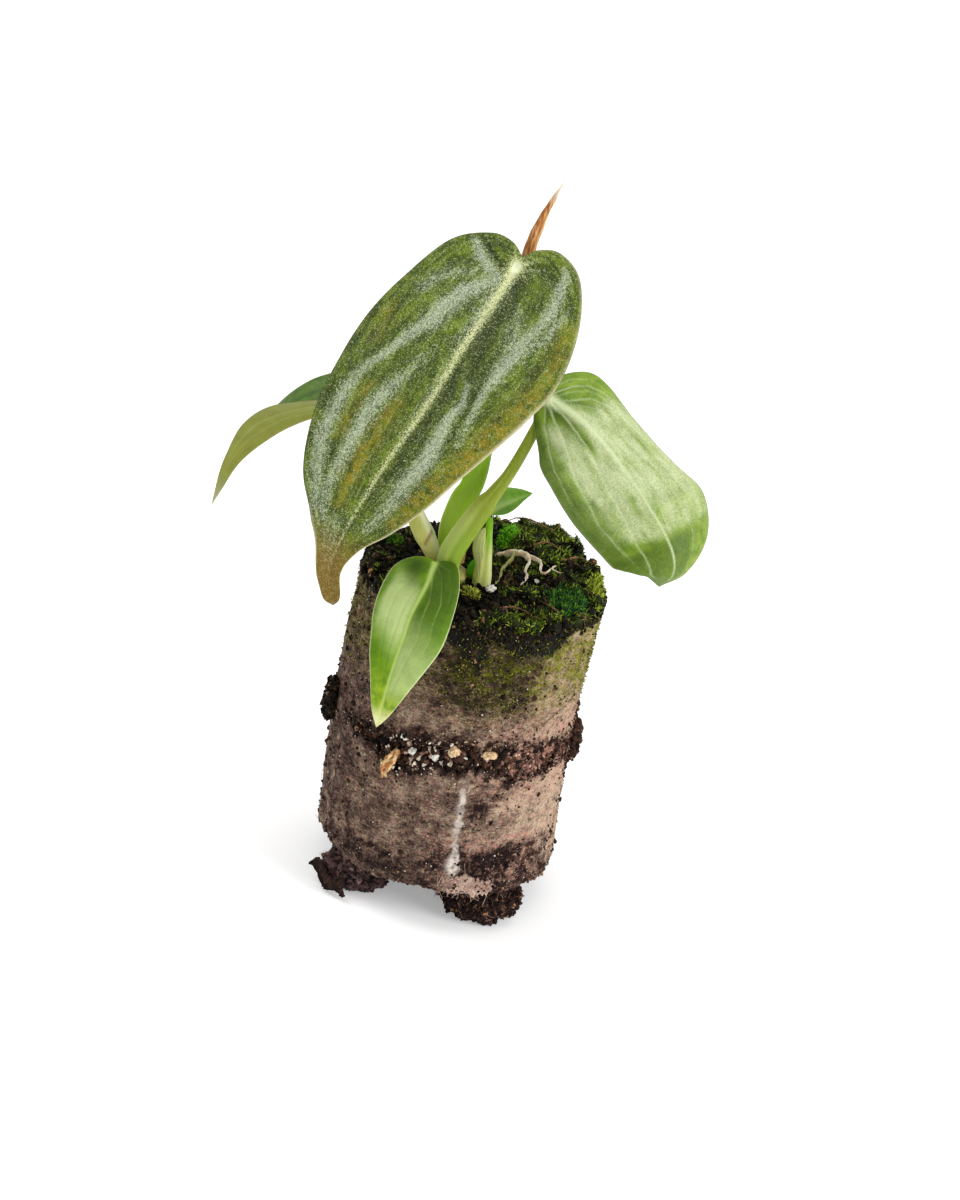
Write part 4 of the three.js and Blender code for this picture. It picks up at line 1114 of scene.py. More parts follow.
def healed_tear(share, turn):
    """Where the left petiole's wing has torn and healed, and the brown at its foot."""
    torn = 0.75 * hill(share - 0.18 - 0.04 * np.sin(turn + 1.3), 0.013)
    return torn * smooth(np.cos(turn + 1.1), 0.55, 0.85) + brown_foot(0.7, 0, 0.05)(share, turn)


PETIOLES = {
    "petiole_main": dict(
        path=[[-7.9, -2.2, 71.4], [-8.6, -2.5, 75.4], [-8.6, -2.8, 79.8], [-7.5, -2.5, 85.4],
              [-5.7, -2, 90.5], [-5, 0, 106.8], [-5, 2.4, 123.1], [-5.4, 4, 132.8]],
        stations=[[0, 1.8, 1.1], [0.15, 2.3, 1.1], [0.35, 2.3, 1.1], [0.6, 1.4, 1.1], [1, 1.2, 0.9]],
        shape=ribbed(0.02, 9), wing=wing_edge(0.6, -1, 0.85, 1, 0.1, 0.3), scar=no_mark, slot="green_petiole",
        finish=petiole_finish("green_petiole_skin", paint(170, 202, 62), paint(128, 176, 0),
                              paint(214, 226, 130), paint(120, 92, 40))),
    "petiole_right": dict(
        path=[[-7.8, -7.4, 71.4], [-7.5, -7.6, 75.5], [-6.3, -7.8, 79.3], [-4.4, -8, 83.8],
              [-2.8, -7.6, 87.2], [1, -5.4, 94.2], [4.2, -1.5, 102.4], [5.6, 2.9, 106.5]],
        stations=[[0, 2.3, 1.2], [0.12, 2.5, 1.2], [0.25, 2.4, 1.1], [0.42, 2.2, 1], [0.47, 1.6, 1],
                  [0.6, 1.2, 1], [1, 1, 0.9]],
        shape=ribbed(0.02, 9, 0.16), wing=wing_edge(0.35, -1, 0.1, 0.9, 0.3, 0.46, 0.35),
        scar=brown_foot(0.9, 0.02, 0.02), slot="olive_petiole",
        finish=petiole_finish("olive_petiole_skin", paint(156, 188, 62), paint(140, 154, 44),
                              paint(214, 220, 142), paint(134, 96, 50))),
    "petiole_left": dict(
        path=[[-9.8, -5, 71.4], [-12, -5, 75.3], [-15.4, -4.6, 80.3], [-20.2, -3.6, 87.6], [-24.1, -1, 94.5],
              [-26.7, 3.1, 100.3]],
        stations=[[0, 1.3, 1.2], [0.2, 2.1, 1.9], [0.5, 1.6, 1.5], [1, 1, 0.9]],
        shape=ribbed(0.02, 8, 0.1), wing=wing_edge(0.7, 1, 0.2, 0.9, 0.3, 0.6), scar=healed_tear,
        slot="cream_petiole",
        finish=petiole_finish("cream_petiole_skin", paint(222, 220, 132), paint(156, 164, 46),
                              paint(244, 244, 212), paint(134, 88, 34))),
    "petiole_front": dict(
        path=[[-9.6, -8, 71.4], [-9.8, -8.8, 72.1], [-10.1, -10.2, 73.1]],
        stations=[[0, 0.8, 0.7], [1, 0.8, 0.6]],
        shape=ribbed(0.02, 7), wing=no_mark, scar=brown_foot(0.7, 0, 0.2), slot="olive_petiole",
        finish=petiole_finish("front_petiole_skin", paint(178, 184, 104), paint(160, 178, 84),
                              paint(206, 214, 150), paint(128, 88, 44))),
    "side_shoot": dict(
        path=[[-0.4, -6.3, 69.6], [-0.6, -6.2, 73], [-0.8, -5.6, 77.5], [-0.9, -4.8, 81], [-1.2, -3.4, 83.2]],
        stations=[[0, 1.9, 1.6], [0.15, 1.9, 1.6], [0.4, 1.5, 1.3], [0.6, 1.2, 1.1], [0.75, 0.85, 0.85],
                  [1, 0.6, 0.55]],
        shape=ribbed(0.03, 7, 0.2), wing=wing_edge(0.6, 1, 0.5, 1, 0.3, 0.7), scar=no_mark, slot="pale_shoot",
        finish=petiole_finish("pale_shoot_skin", paint(204, 214, 118), paint(134, 190, 20),
                              paint(232, 238, 180), paint(150, 120, 70), fade=(0.4, 0.8))),
}
for name, given in PETIOLES.items():
    mesh = stalk_mesh(name + "_stalk", given["path"], given["stations"], 110, 40, shape=given["shape"],
                      paints={"wing": given["wing"], "scar": given["scar"]})
    add_piece(name + "_stalk", mesh, given["finish"], given["slot"], name)

# %% [markdown]
# ## Dry sheath, thin sheath and bud
#
# A cataphyll wraps each new leaf and dries when the leaf has opened. Here it stands behind the main
# leaf as a curled brown ribbon, drawn out to a wisp at its tip. It is a thin curled sheet: an arc of
# paper swept along a path, closed by its own thickness.

# %% Curled sheets
def curled_sheet(name, path, stations, opening, thickness, rows=140, columns=22, wide_way=(1, 0, 0),
                 crinkled=0.15):
    """A sheet rolled round a path. opening(share) is the angle in radians that its arc covers."""
    path = Path(path)
    stations = np.array(stations, float)
    share = np.linspace(0, 1, rows)
    centre, along = path.at(share), path.tangent(share)
    across = unit(np.array(wide_way, float) - along * (along @ np.array(wide_way, float))[:, None])
    out = np.cross(along, across)
    side = np.linspace(-1, 1, columns)
    lanes = np.r_[side, side[::-1]]
    inner = np.r_[np.zeros(columns), np.ones(columns)]
    arc = np.array([opening(s) for s in share])[:, None] / 2 * lanes[None, :]
    wide = np.interp(share, stations[:, 0], stations[:, 1])[:, None]
    thin = np.interp(share, stations[:, 0], stations[:, 2])[:, None]
    wall = thickness * inner[None, :] * np.clip(wide / 0.6, 0.3, 1)
    ridges = 0.05 * np.sin(9 * arc * wide + 2 * share[:, None])
    x = (wide - wall + ridges) * np.sin(arc)
    y = -(thin - wall + ridges) * np.cos(arc)
    rings = centre[:, None] + across[:, None] * x[..., None] + out[:, None] * y[..., None]
    points, faces = loft(rings)
    points = points + crinkled * shaken(points * [1, 1, 0.3], 1.6, 2, 61)
    marks = {"share": with_poles(share[:, None] + 0 * arc), "side": with_poles(lanes[None, :] + 0 * arc)}
    return build_mesh(name, points, faces, marks, np.stack([marks["side"] * 0.02, marks["share"]], 1))


def dry_finish(name, dark, mid, light, tip):
    finish = Finish(name)
    strand = finish.noise(finish.place((1, 1, 9)), 0.45, 4.0, 0.6)
    share = finish.mark("share")
    body = finish.ramp(strand, (0.3, dark), (0.52, mid), (0.72, light))
    body = finish.mix(finish.spread(finish.mark("side"), 0.2, 0.8, 0.0, 0.6), body, light)
    body = finish.mix(finish.spread(finish.mark("side"), -0.5, -0.95, 0.0, 0.7), body, dark)
    body = finish.mix(finish.spread(share, 0.93, 0.99, 0.0, 0.9), body, tip)
    return finish.wear(Base_Color=body, Roughness=0.55, Normal=finish.bump(strand, 0.2),
                       Specular_IOR_Level=0.4)


# %% The dry sheath
brown_sheath = dry_finish("dry_brown_sheath", paint(92, 48, 18), paint(184, 118, 54), paint(230, 190, 132),
                          paint(236, 214, 190))
DRY_PATH = [[-6.2, 1.2, 69.6], [-6.4, 1.5, 76], [-5.6, 3, 88], [-4.8, 5.6, 109.1], [-3.8, 8, 125.6],
            [-3.4, 8.8, 136], [-2.3, 9.3, 141.9], [-0.5, 9.8, 147.3], [0.7, 10, 150.4]]
DRY_WIDTHS = [[0, 1.5, 1.1], [0.1, 1.9, 1.3], [0.3, 1.7, 0.9], [0.78, 1.35, 0.75], [0.88, 0.95, 0.5],
              [0.95, 0.5, 0.35], [1, 0.1, 0.08]]


def dry_opening(share):
    return 3.6 - 1.0 * math.sin(5 * share) - 1.2 * share


dry_mesh = curled_sheet("dry_sheath_ribbon", DRY_PATH, DRY_WIDTHS, dry_opening, 0.22)
add_piece("dry_sheath_ribbon", dry_mesh, brown_sheath, "dry_brown_sheath", "dry_sheath")

# %% The thin sheath, the bud and the crown
pale_sheath = petiole_finish("thin_pale_sheath", paint(202, 214, 116), paint(200, 206, 132),
                             paint(218, 218, 164), paint(196, 180, 120), 0.3)
THIN_PATH = [[-0.5, -6.4, 69.9], [-0.7, -6.3, 72.5], [-1.3, -6.1, 76], [-1.9, -5.8, 78.6], [-1.7, -5.0, 81.4]]
THIN_WIDTHS = [[0, 1.3, 1.35], [0.3, 1.3, 1.45], [0.62, 2.1, 1.6], [0.8, 1.9, 1.3], [1, 0.35, 0.35]]


def thin_opening(share):
    return 0.7 + 1.4 * share


thin_mesh = curled_sheet("side_shoot_sheath_wrap", THIN_PATH, THIN_WIDTHS, thin_opening, 0.2, 70, 18,
                         crinkled=0.1, wide_way=(0.8, -0.6, 0))
add_piece("side_shoot_sheath_wrap", thin_mesh, pale_sheath, "thin_sheath", "side_shoot_sheath")

bud_skin = petiole_finish("bud_skin", paint(104, 176, 20), paint(84, 172, 4), paint(150, 210, 50),
                          paint(70, 120, 10))
BUD_PATH = [[-2.5, -4.6, 69.9], [-2.7, -4.9, 71.2], [-2.6, -4.8, 72.8], [-2.3, -4.4, 74.2]]
BUD_WIDTHS = [[0, 0.7, 0.7], [0.3, 1.15, 1.1], [0.65, 1.0, 0.95], [0.9, 0.5, 0.5], [1, 0.1, 0.1]]
bud_mesh = stalk_mesh("bud_point", BUD_PATH, BUD_WIDTHS, 40, 24, shape=ribbed(0.03, 5),
                      paints={"wing": no_mark, "scar": no_mark})
add_piece("bud_point", bud_mesh, bud_skin, "bud_green", "bud")

crown_skin = petiole_finish("crown_skin", paint(120, 96, 50), paint(168, 158, 84), paint(196, 190, 130),
                            paint(84, 56, 30), 0.05)
CROWN_PATH = [[-7.8, -5.3, height] for height in (68.6, 69.6, 70.6, 71.9)]
CROWN_WIDTHS = [[0, 2.4, 2.4], [0.25, 4.2, 4.1], [0.55, 4.4, 4.3], [0.8, 4.0, 3.9], [1, 2.6, 2.4]]


def crown_scar(share, turn):
    return 0.6 * (1 - smooth(share, 0.1, 0.5))


crown_mesh = stalk_mesh("crown_button", CROWN_PATH, CROWN_WIDTHS, 40, 72, shape=ribbed(0.025, 13),
                        paints={"wing": no_mark, "scar": crown_scar}, rough=0.12)
add_piece("crown_button", crown_mesh, crown_skin, "crown_skin", "crown")

# %% [markdown]
# ## Moss
#
# Moss is a turf of pointed leaflets a fraction of a millimetre long. A low cushion gives each clump its
# swell, and the leaflets are strewn over it thickly enough to hide it. A thinner turf creeps over the
# soil wherever the medium carries its "green" mark.

# %% Moss finish
def moss_finish(name, dark, mid, light):
    finish = Finish(name)
    shade = finish.plus(finish.mark("shade", 0.65), finish.times(finish.noise(finish.place(), 1.8, 3.0), 0.6))
    body = finish.ramp(shade, (0.36, dark), (0.62, mid), (0.88, light))
    return finish.wear(Base_Color=body, Roughness=0.6, Specular_IOR_Level=0.35, Subsurface_Weight=0.1,
                       Subsurface_Radius=(0.3 * MM, 0.5 * MM, 0.1 * MM))


def cushion_mesh(name, centre, radii, height, rows=20, columns=48):
    turn = 2 * np.pi * np.arange(columns) / columns
    rings = []
    for top, shares in ((1, np.linspace(0.06, 1, rows)), (0, np.linspace(0.95, 0.1, 6))):
        for share in shares:
            wobble = 1 + 0.1 * np.sin(3 * turn + centre[0]) + 0.12 * np.sin(7 * turn)
            x = centre[0] + radii[0] * share * wobble * np.cos(turn)
            y = centre[1] + radii[1] * share * wobble * np.sin(turn)
            rise = top * height * np.sqrt(max(0.0, 1 - share * share))
            z = soil_top(x, y) + 0.1 + rise
            if top:
                z = z + 0.35 * rise * crinkle(at_height(x, y), 1.1, 2, seed=71)
            rings.append(np.stack([x, y, z], 1))
    points, faces = loft(np.array(rings))
    return build_mesh(name, points, faces, {"turf": np.ones(len(points)), "shade": 0.3 + 0 * points[:, 0]})


MOSS = {
    "moss_bright": ([3.4, 12.9], [2.0, 4.0], 1.5, "bright_moss",
                    moss_finish("moss_bright_green", paint(24, 80, 2), paint(80, 168, 8),
                                paint(160, 214, 40))),
    "moss_deep_green": ([17.2, -6.8], [4.2, 6.4], 1.2, "deep_moss",
                        moss_finish("moss_deep_green", paint(3, 30, 14), paint(14, 84, 40),
                                    paint(120, 176, 30))),
    "moss_rim_right": ([22.6, 1.6], [1.7, 5.2], 1.2, "yellow_moss",
                       moss_finish("moss_yellow", paint(44, 58, 6), paint(138, 158, 20),
                                   paint(218, 224, 90))),
    "moss_stem_base": ([-2.6, -11.4], [2.4, 1.5], 0.9, "yellow_moss",
                       moss_finish("moss_yellow_green", paint(60, 74, 8), paint(166, 178, 34),
                                   paint(220, 218, 104))),
    "moss_left": ([-19.6, 6.3], [1.6, 2.2], 0.9, "bright_moss",
                  moss_finish("moss_left_green", paint(16, 48, 3), paint(64, 120, 12), paint(140, 180, 40))),
    "moss_mound": ([11.5, 19], [4.6, 2.6], 1.3, "olive_moss",
                   moss_finish("moss_olive", paint(10, 14, 3), paint(58, 74, 18), paint(136, 146, 54))),
}
for number, (name, (centre, radii, height, slot, finish)) in enumerate(MOSS.items()):
    cushion = cushion_mesh(name + "_cushion", centre, radii, height)
    add_bits(name + "_turf", cushion, leaflets, finish, slot, name, Where="turf", Per_square_mm=20.0,
             Size=0.4, Size_spread=0.45, Lean=0.9, Sink=0.0, Keep_ground=True, Seed=number)
soil_turf_finish = moss_finish("moss_creeping", paint(12, 20, 3), paint(60, 86, 12), paint(166, 186, 46))
add_bits("soil_moss", medium, leaflets, soil_turf_finish, "olive_moss", Where="green", Per_square_mm=9.5,
         Size=0.46, Size_spread=0.5, Lean=1.0, Sink=-0.2, Seed=12)
twig_finish = root_finish_for("soil_twig", paint(150, 108, 66), paint(92, 56, 32), paint(90, 84, 40))
TWIGS = [
    [[1.5, 21, 72.2], [6, 19.4, 74.6], [12.5, 15.6, 74.8]],
    [[15, 8, 72], [18.5, 9.6, 72.4], [21.5, 8.8, 71.8]],
    [[8, 9, 73], [11, 10.4, 74.2], [14.5, 9.4, 73.4]],
    [[12, -10, 70.2], [15, -13.5, 70.6], [16.5, -16.5, 70.2]],
    [[3, -17, 70], [7.5, -16.2, 70.6], [12, -18.4, 70.1]],
]
TWIG_WIDTHS = [[0, 0.1, 0.1], [0.4, 0.2, 0.18], [1, 0.08, 0.08]]
twigs = [stalk_mesh(f"twig_{number}", route, TWIG_WIDTHS, 30, 8, rough=0.2)
         for number, route in enumerate(TWIGS)]
add_piece("soil_twigs", joined_mesh("soil_twigs", twigs), twig_finish, "orange_fibre")

# %% [markdown]
# ## Lumps, flap and scrap
#
# Medium and roots have pushed out under the plug and at the tear. Each lump is a rounded body bumped by
# noise, then covered in crumbs by the same tree as the soil.

# %% Lumps
def lump_mesh(name, centre, radii, floor, ceiling, seed, rows=34, columns=60):
    ball = ball_points(rows, columns)
    points = np.array(centre) + ball * np.array(radii)
    bumps = 0.22 * crinkle(points, 2.6, 3, seed) + 0.12 * np.abs(crinkle(points, 0.9, 2, seed + 1))
    points = np.array(centre) + ball * np.array(radii) * (1 + bumps)[:, None]
    points[:, 2] = np.clip(points[:, 2], floor, ceiling)
    marks = {"shade": 0.4 + 0.3 * crinkle(points, 1.5, 2, seed),
             "density": np.where(points[:, 2] > floor + 0.9, 1.0, 0.0),
             "hang": np.where(points[:, 2] > floor + 2.6, 1.0, 0.0)}
    return build_mesh(name, points, ring_faces(rows, columns, len(ball) - 2, len(ball) - 1), marks)


lump_finish = medium_finish("lump_medium", paint(14, 9, 9), paint(84, 64, 62), paint(170, 140, 130), 0.5)
right_lump_finish = medium_finish("lump_roots", paint(8, 5, 4), paint(46, 29, 25), paint(162, 120, 86), 0.5)
LUMPS = {
    "root_lump_left": ((-14.8, -13.7, 4.1), (6.4, 4.7, 5.1), 0.0, 9.4, lump_finish, "medium"),
    "root_lump_right": ((11.4, -14.2, 4.2), (7.6, 7.8, 5.8), 0.0, 9.4, right_lump_finish, "rooty_medium"),
    "crumb_lump_left": ((-26.2, -6.6, 38.4), (1.3, 2.7, 4.3), 30.0, 46.0, soil_finish, "medium"),
    "crumb_lump_right": ((24.6, -2.2, 37), (1.0, 2.3, 4.1), 30.0, 46.0, root_finish, "rooty_medium"),
}
for number, (name, (centre, radii, floor_z, ceiling, finish, slot)) in enumerate(LUMPS.items()):
    body = lump_mesh(name + "_body", centre, radii, floor_z, ceiling, 80 + number)
    add_bits(name + "_crumbs", body, crumbs, finish, slot, name, Where="density", Per_square_mm=2.2, Size=0.5,
             Size_spread=0.85, Lean=3.0, Sink=-0.05, Keep_ground=True, Seed=30 + number)
    if name.startswith("root_lump"):
        add_bits(name + "_rootlets", body, fibres, chunk_finish, "rooty_medium", Where="hang",
                 Per_square_mm=0.4, Size=0.5, Size_spread=0.6, Lean=0.7, Sink=-0.3, Seed=50 + number)

# %% Torn paper: the flap and the scrap
def torn_sheet(name, place, thickness, seed, across=26, along=70, ragged=0.14, stained=0.35):
    """A thin sheet with frayed edges: place(u, v) gives its middle surface."""
    v = np.linspace(0, 1, along)
    u = np.linspace(0, 1, across)
    lanes = np.r_[u, u[-2:0:-1]]
    back = np.r_[np.zeros(across), np.ones(across - 2)]
    v_grid, u_grid = np.meshgrid(v, lanes, indexing="ij")
    edges = at_height(9 * v_grid.ravel(), u_grid.ravel() > 0.5)
    fray = ragged * crinkle(edges, 0.5, 3, seed)
    u_frayed = 0.5 + (u_grid - 0.5) * (1 + fray.reshape(u_grid.shape))
    middle = place(u_frayed, v_grid)
    sideways = place(u_frayed + 0.001, v_grid) - place(u_frayed - 0.001, v_grid)
    lengthways = place(u_frayed, v_grid + 0.001) - place(u_frayed, v_grid - 0.001)
    normal = unit(np.cross(sideways, lengthways))
    inside = ((u_grid > 0.001) & (u_grid < 0.999)) * thickness / 2
    rings = middle + normal * (inside * np.where(back > 0.5, -1, 1)[None, :])[..., None]
    points, faces = loft(rings)
    points = points + 0.14 * shaken(points, 1.2, 3, seed)

    def with_middles(values):
        return np.r_[values.ravel(), 0.5, 0.5]

    marks = {"stain_and_shade": with_middles(stained * (1 + 1.4 * (u_grid < 0.35))),
             "specks": with_middles(0 * u_grid + 1), "pale": with_middles(0 * u_grid)}
    flat = np.stack([with_middles(u_grid) * 0.04, with_middles(v_grid) * 0.1], 1)
    return build_mesh(name, points, faces, marks, flat)


def flap_place(u, v):
    half = (u - 0.5) * (0.25 + 0.75 * np.sin(np.pi * (0.12 + 0.8 * v)) ** 0.6)
    twist = 0.9 - 1.3 * v
    x = -23.8 + 7.4 * v + 2.2 * half * np.sin(twist)
    y = -14.2 - 7.4 * v - 0.9 * np.sin(np.pi * v) + 1.6 * half * np.sin(twist)
    z = 2.3 * (1 - v) + 1.5 + 0.6 * np.sin(3 * np.pi * v) + 2.9 * half * np.cos(twist)
    return np.stack([x, y, z], -1)


def scrap_place(u, v):
    turn = np.radians(-83 + 24 * v)
    tall = 0.55 + 0.45 * np.abs(np.sin(np.pi * v)) ** 0.5
    radius = SLEEVE_RADIUS + 0.6 + 0.3 * np.sin(np.pi * v) + 0.7 * (1 - u) + 0.3 * np.sin(9 * v)
    height = 10.9 + 3.6 * (u - 0.5) * tall + 0.5 * np.sin(6 * v)
    return np.stack([radius * np.cos(turn), radius * np.sin(turn), height], -1)


flap_finish = paper_finish("wet_flap_paper", paint(84, 56, 46), paint(44, 30, 26), paint(120, 90, 72),
                           paint(26, 18, 16), paint(60, 60, 30))
flap = torn_sheet("sleeve_flap_sheet", flap_place, 0.7, 90)
add_bits("sleeve_flap_sheet", flap, crumbs, flap_finish, "stained_paper", "sleeve_flap_left", Where="specks",
         Per_square_mm=1.0, Size=0.25, Size_spread=0.6, Lean=3.0, Sink=0.0, Keep_ground=True, Seed=41)
scrap_finish = paper_finish("pink_scrap_paper", paint(206, 176, 158), paint(158, 122, 106),
                            paint(238, 214, 198), paint(96, 66, 58), paint(120, 110, 70))
scrap = torn_sheet("sleeve_scrap_sheet", scrap_place, 0.4, 95, ragged=0.5, stained=-0.1)
add_bits("scrap_fibres", scrap, fibres, scrap_finish, "pink_paper", Where="specks", Per_square_mm=1.6,
         Size=0.5, Size_spread=0.7, Lean=0.8, Sink=-0.1, Seed=43)
add_bits("scrap_crumbs", scrap, crumbs, root_finish, "rooty_medium", Where="specks", Per_square_mm=0.5,
         Size=0.26, Size_spread=0.6, Lean=3.0, Sink=0.0, Seed=42)
add_piece("sleeve_scrap_sheet", scrap, scrap_finish, "pink_paper", "sleeve_scrap")

# %% [markdown]
# ## Leaf blades
#
# A leaf is laid out flat first, as a botanist presses it: a runs along the midrib from the petiole to
# the tip and b across it. Two margins and a few vein paths are drawn in that flat layout, in
# millimetres. Then the layout is bent along the midrib's curve in space, folded at the midrib and
# rolled down towards the margins. Relief and colour marks follow the flat paths, so they stay on the
# leaf whatever its bend is.

# %% Distance to flat paths
def near_paths(a, b, paths):
    """1 on the middle of any path and 0 away from it. A path's points are (a, b, half width, strength)."""
    best = np.zeros_like(a)
    for path in paths:
        path = np.array(path, float)
        for first, second in zip(path[:-1], path[1:]):
            step = second[:2] - first[:2]
            share = ((a - first[0]) * step[0] + (b - first[1]) * step[1]) / max(step @ step, 1e-6)
            share = np.clip(share, 0, 1)
            away = np.hypot(a - first[0] - share * step[0], b - first[1] - share * step[1])
            width = first[2] + share * (second[2] - first[2])
            strength = first[3] + share * (second[3] - first[3])
            best = np.maximum(best, strength * hill(away, width))
    return best


def line(points, width, strength=1.0):
    """A flat path of one width that fades at its far end."""
    rows = [[a, b, width, strength] for a, b in points]
    rows[-1][3] = 0.2 * strength
    return rows


# %% The blade
VEIN_CROWDING = 1.7
VEIN_BEND = 1.4
BLADE_HALF = 0.16


class Blade:
    def __init__(self, midrib, faces, rise, arch, left, right):
        self.curve = Path(midrib)
        self.faces = np.array(faces, float)
        self.rise, self.arch = rise, arch
        self.tip = left[-1][0]
        self.margins = [Path([[a, b, 0] for a, b in margin]) for margin in (left, right)]

    def surface(self, a, b, height):
        share = np.clip(a / self.curve.length, 0, 1)
        place = share * (len(self.faces) - 1)
        low = np.minimum(np.floor(place).astype(int), len(self.faces) - 2)
        part = (place - low)[:, None]
        along = self.curve.tangent(share)
        face = self.faces[low] * (1 - part) + self.faces[low + 1] * part
        face = unit(face - (along * face).sum(1, keepdims=True) * along)
        across = np.cross(face, along)
        beyond = np.minimum(a, 0) + np.maximum(a - self.curve.length, 0)
        away = np.abs(b)
        fold = self.rise * away - self.arch * away**2 / 20
        slope = np.sign(b) * (self.rise - self.arch * away / 10)
        tilt = 1 / np.hypot(1, slope)
        origin = self.curve.at(share) + along * beyond[:, None]
        return origin + across * (b - height * slope * tilt)[:, None] + face * (fold + height * tilt)[:, None]

    def flat(self, share, across):
        left, right = (margin.at(share) for margin in self.margins)
        margin = np.where((across < 0)[:, None], left, right)
        start = self.tip * share**VEIN_CROWDING
        reach = np.abs(across)
        return start + (margin[:, 0] - start) * reach**VEIN_BEND, margin[:, 1] * reach


def leaf_mesh(name, shape, veins, paints, rows, columns, relief=0.12, ripple=0.0):
    """A closed blade with sunken veins above and raised ones below, and a mark for each paint."""
    blade = Blade(**shape)
    shares = np.linspace(0, 1, rows + 1)
    above = np.linspace(-1, 1, 2 * columns + 1)
    ring = np.r_[above, above[-2:0:-1]]
    under = np.r_[np.zeros(len(above)), np.ones(len(above) - 2)]
    share, across = (grid.ravel() for grid in np.meshgrid(shares, ring, indexing="ij"))
    under = np.tile(under, rows + 1)
    a, b = blade.flat(share, across)
    inside = np.clip(1 - np.abs(across) ** 14, 0, 1) * np.clip((1 - share) * 14, 0, 1)
    rib = near_paths(a, b, [[[0, 0, 1.1, 1], [blade.tip * 0.55, 0, 0.7, 0.8], [blade.tip, 0, 0.3, 0.3]]])
    vein = near_paths(a, b, veins)
    swell = crinkle(at_height(a, b), 6.0, 2, seed=len(name)) * ripple
    bed = -relief * vein + swell * np.clip(1 - rib, 0, 1) - 0.5 * relief * rib
    height = np.where(under > 0.5, -BLADE_HALF - 0.7 * rib - 0.25 * vein, BLADE_HALF)
    height = height * inside + bed * np.clip(1 - np.abs(across) ** 6, 0, 1)
    points = blade.surface(a, b, height)
    marks = {"under": under, "rib": rib, "vein": vein, "lane": across,
             "rim": smooth(np.abs(across), 0.972, 1.0)}
    for mark, paths in paints.items():
        marks[mark] = paths(a, b, across, share) if callable(paths) else near_paths(a, b, paths)
    flat = np.stack([b / FLAT_WIDTH + 0.5, a / FLAT_WIDTH + 0.2], 1)
    return build_mesh(name, points, ring_faces(rows + 1, len(ring)), marks, flat)


def add_leaf(node, slot, finish, *recipe):
    """Makes a blade from what leaf_mesh asks for, and shows it in place of its CAD node."""
    name = node + "_blade"
    add_piece(name, leaf_mesh(name, *recipe), finish, slot, node)


def nowhere(a, b, across, share):
    return 0 * a
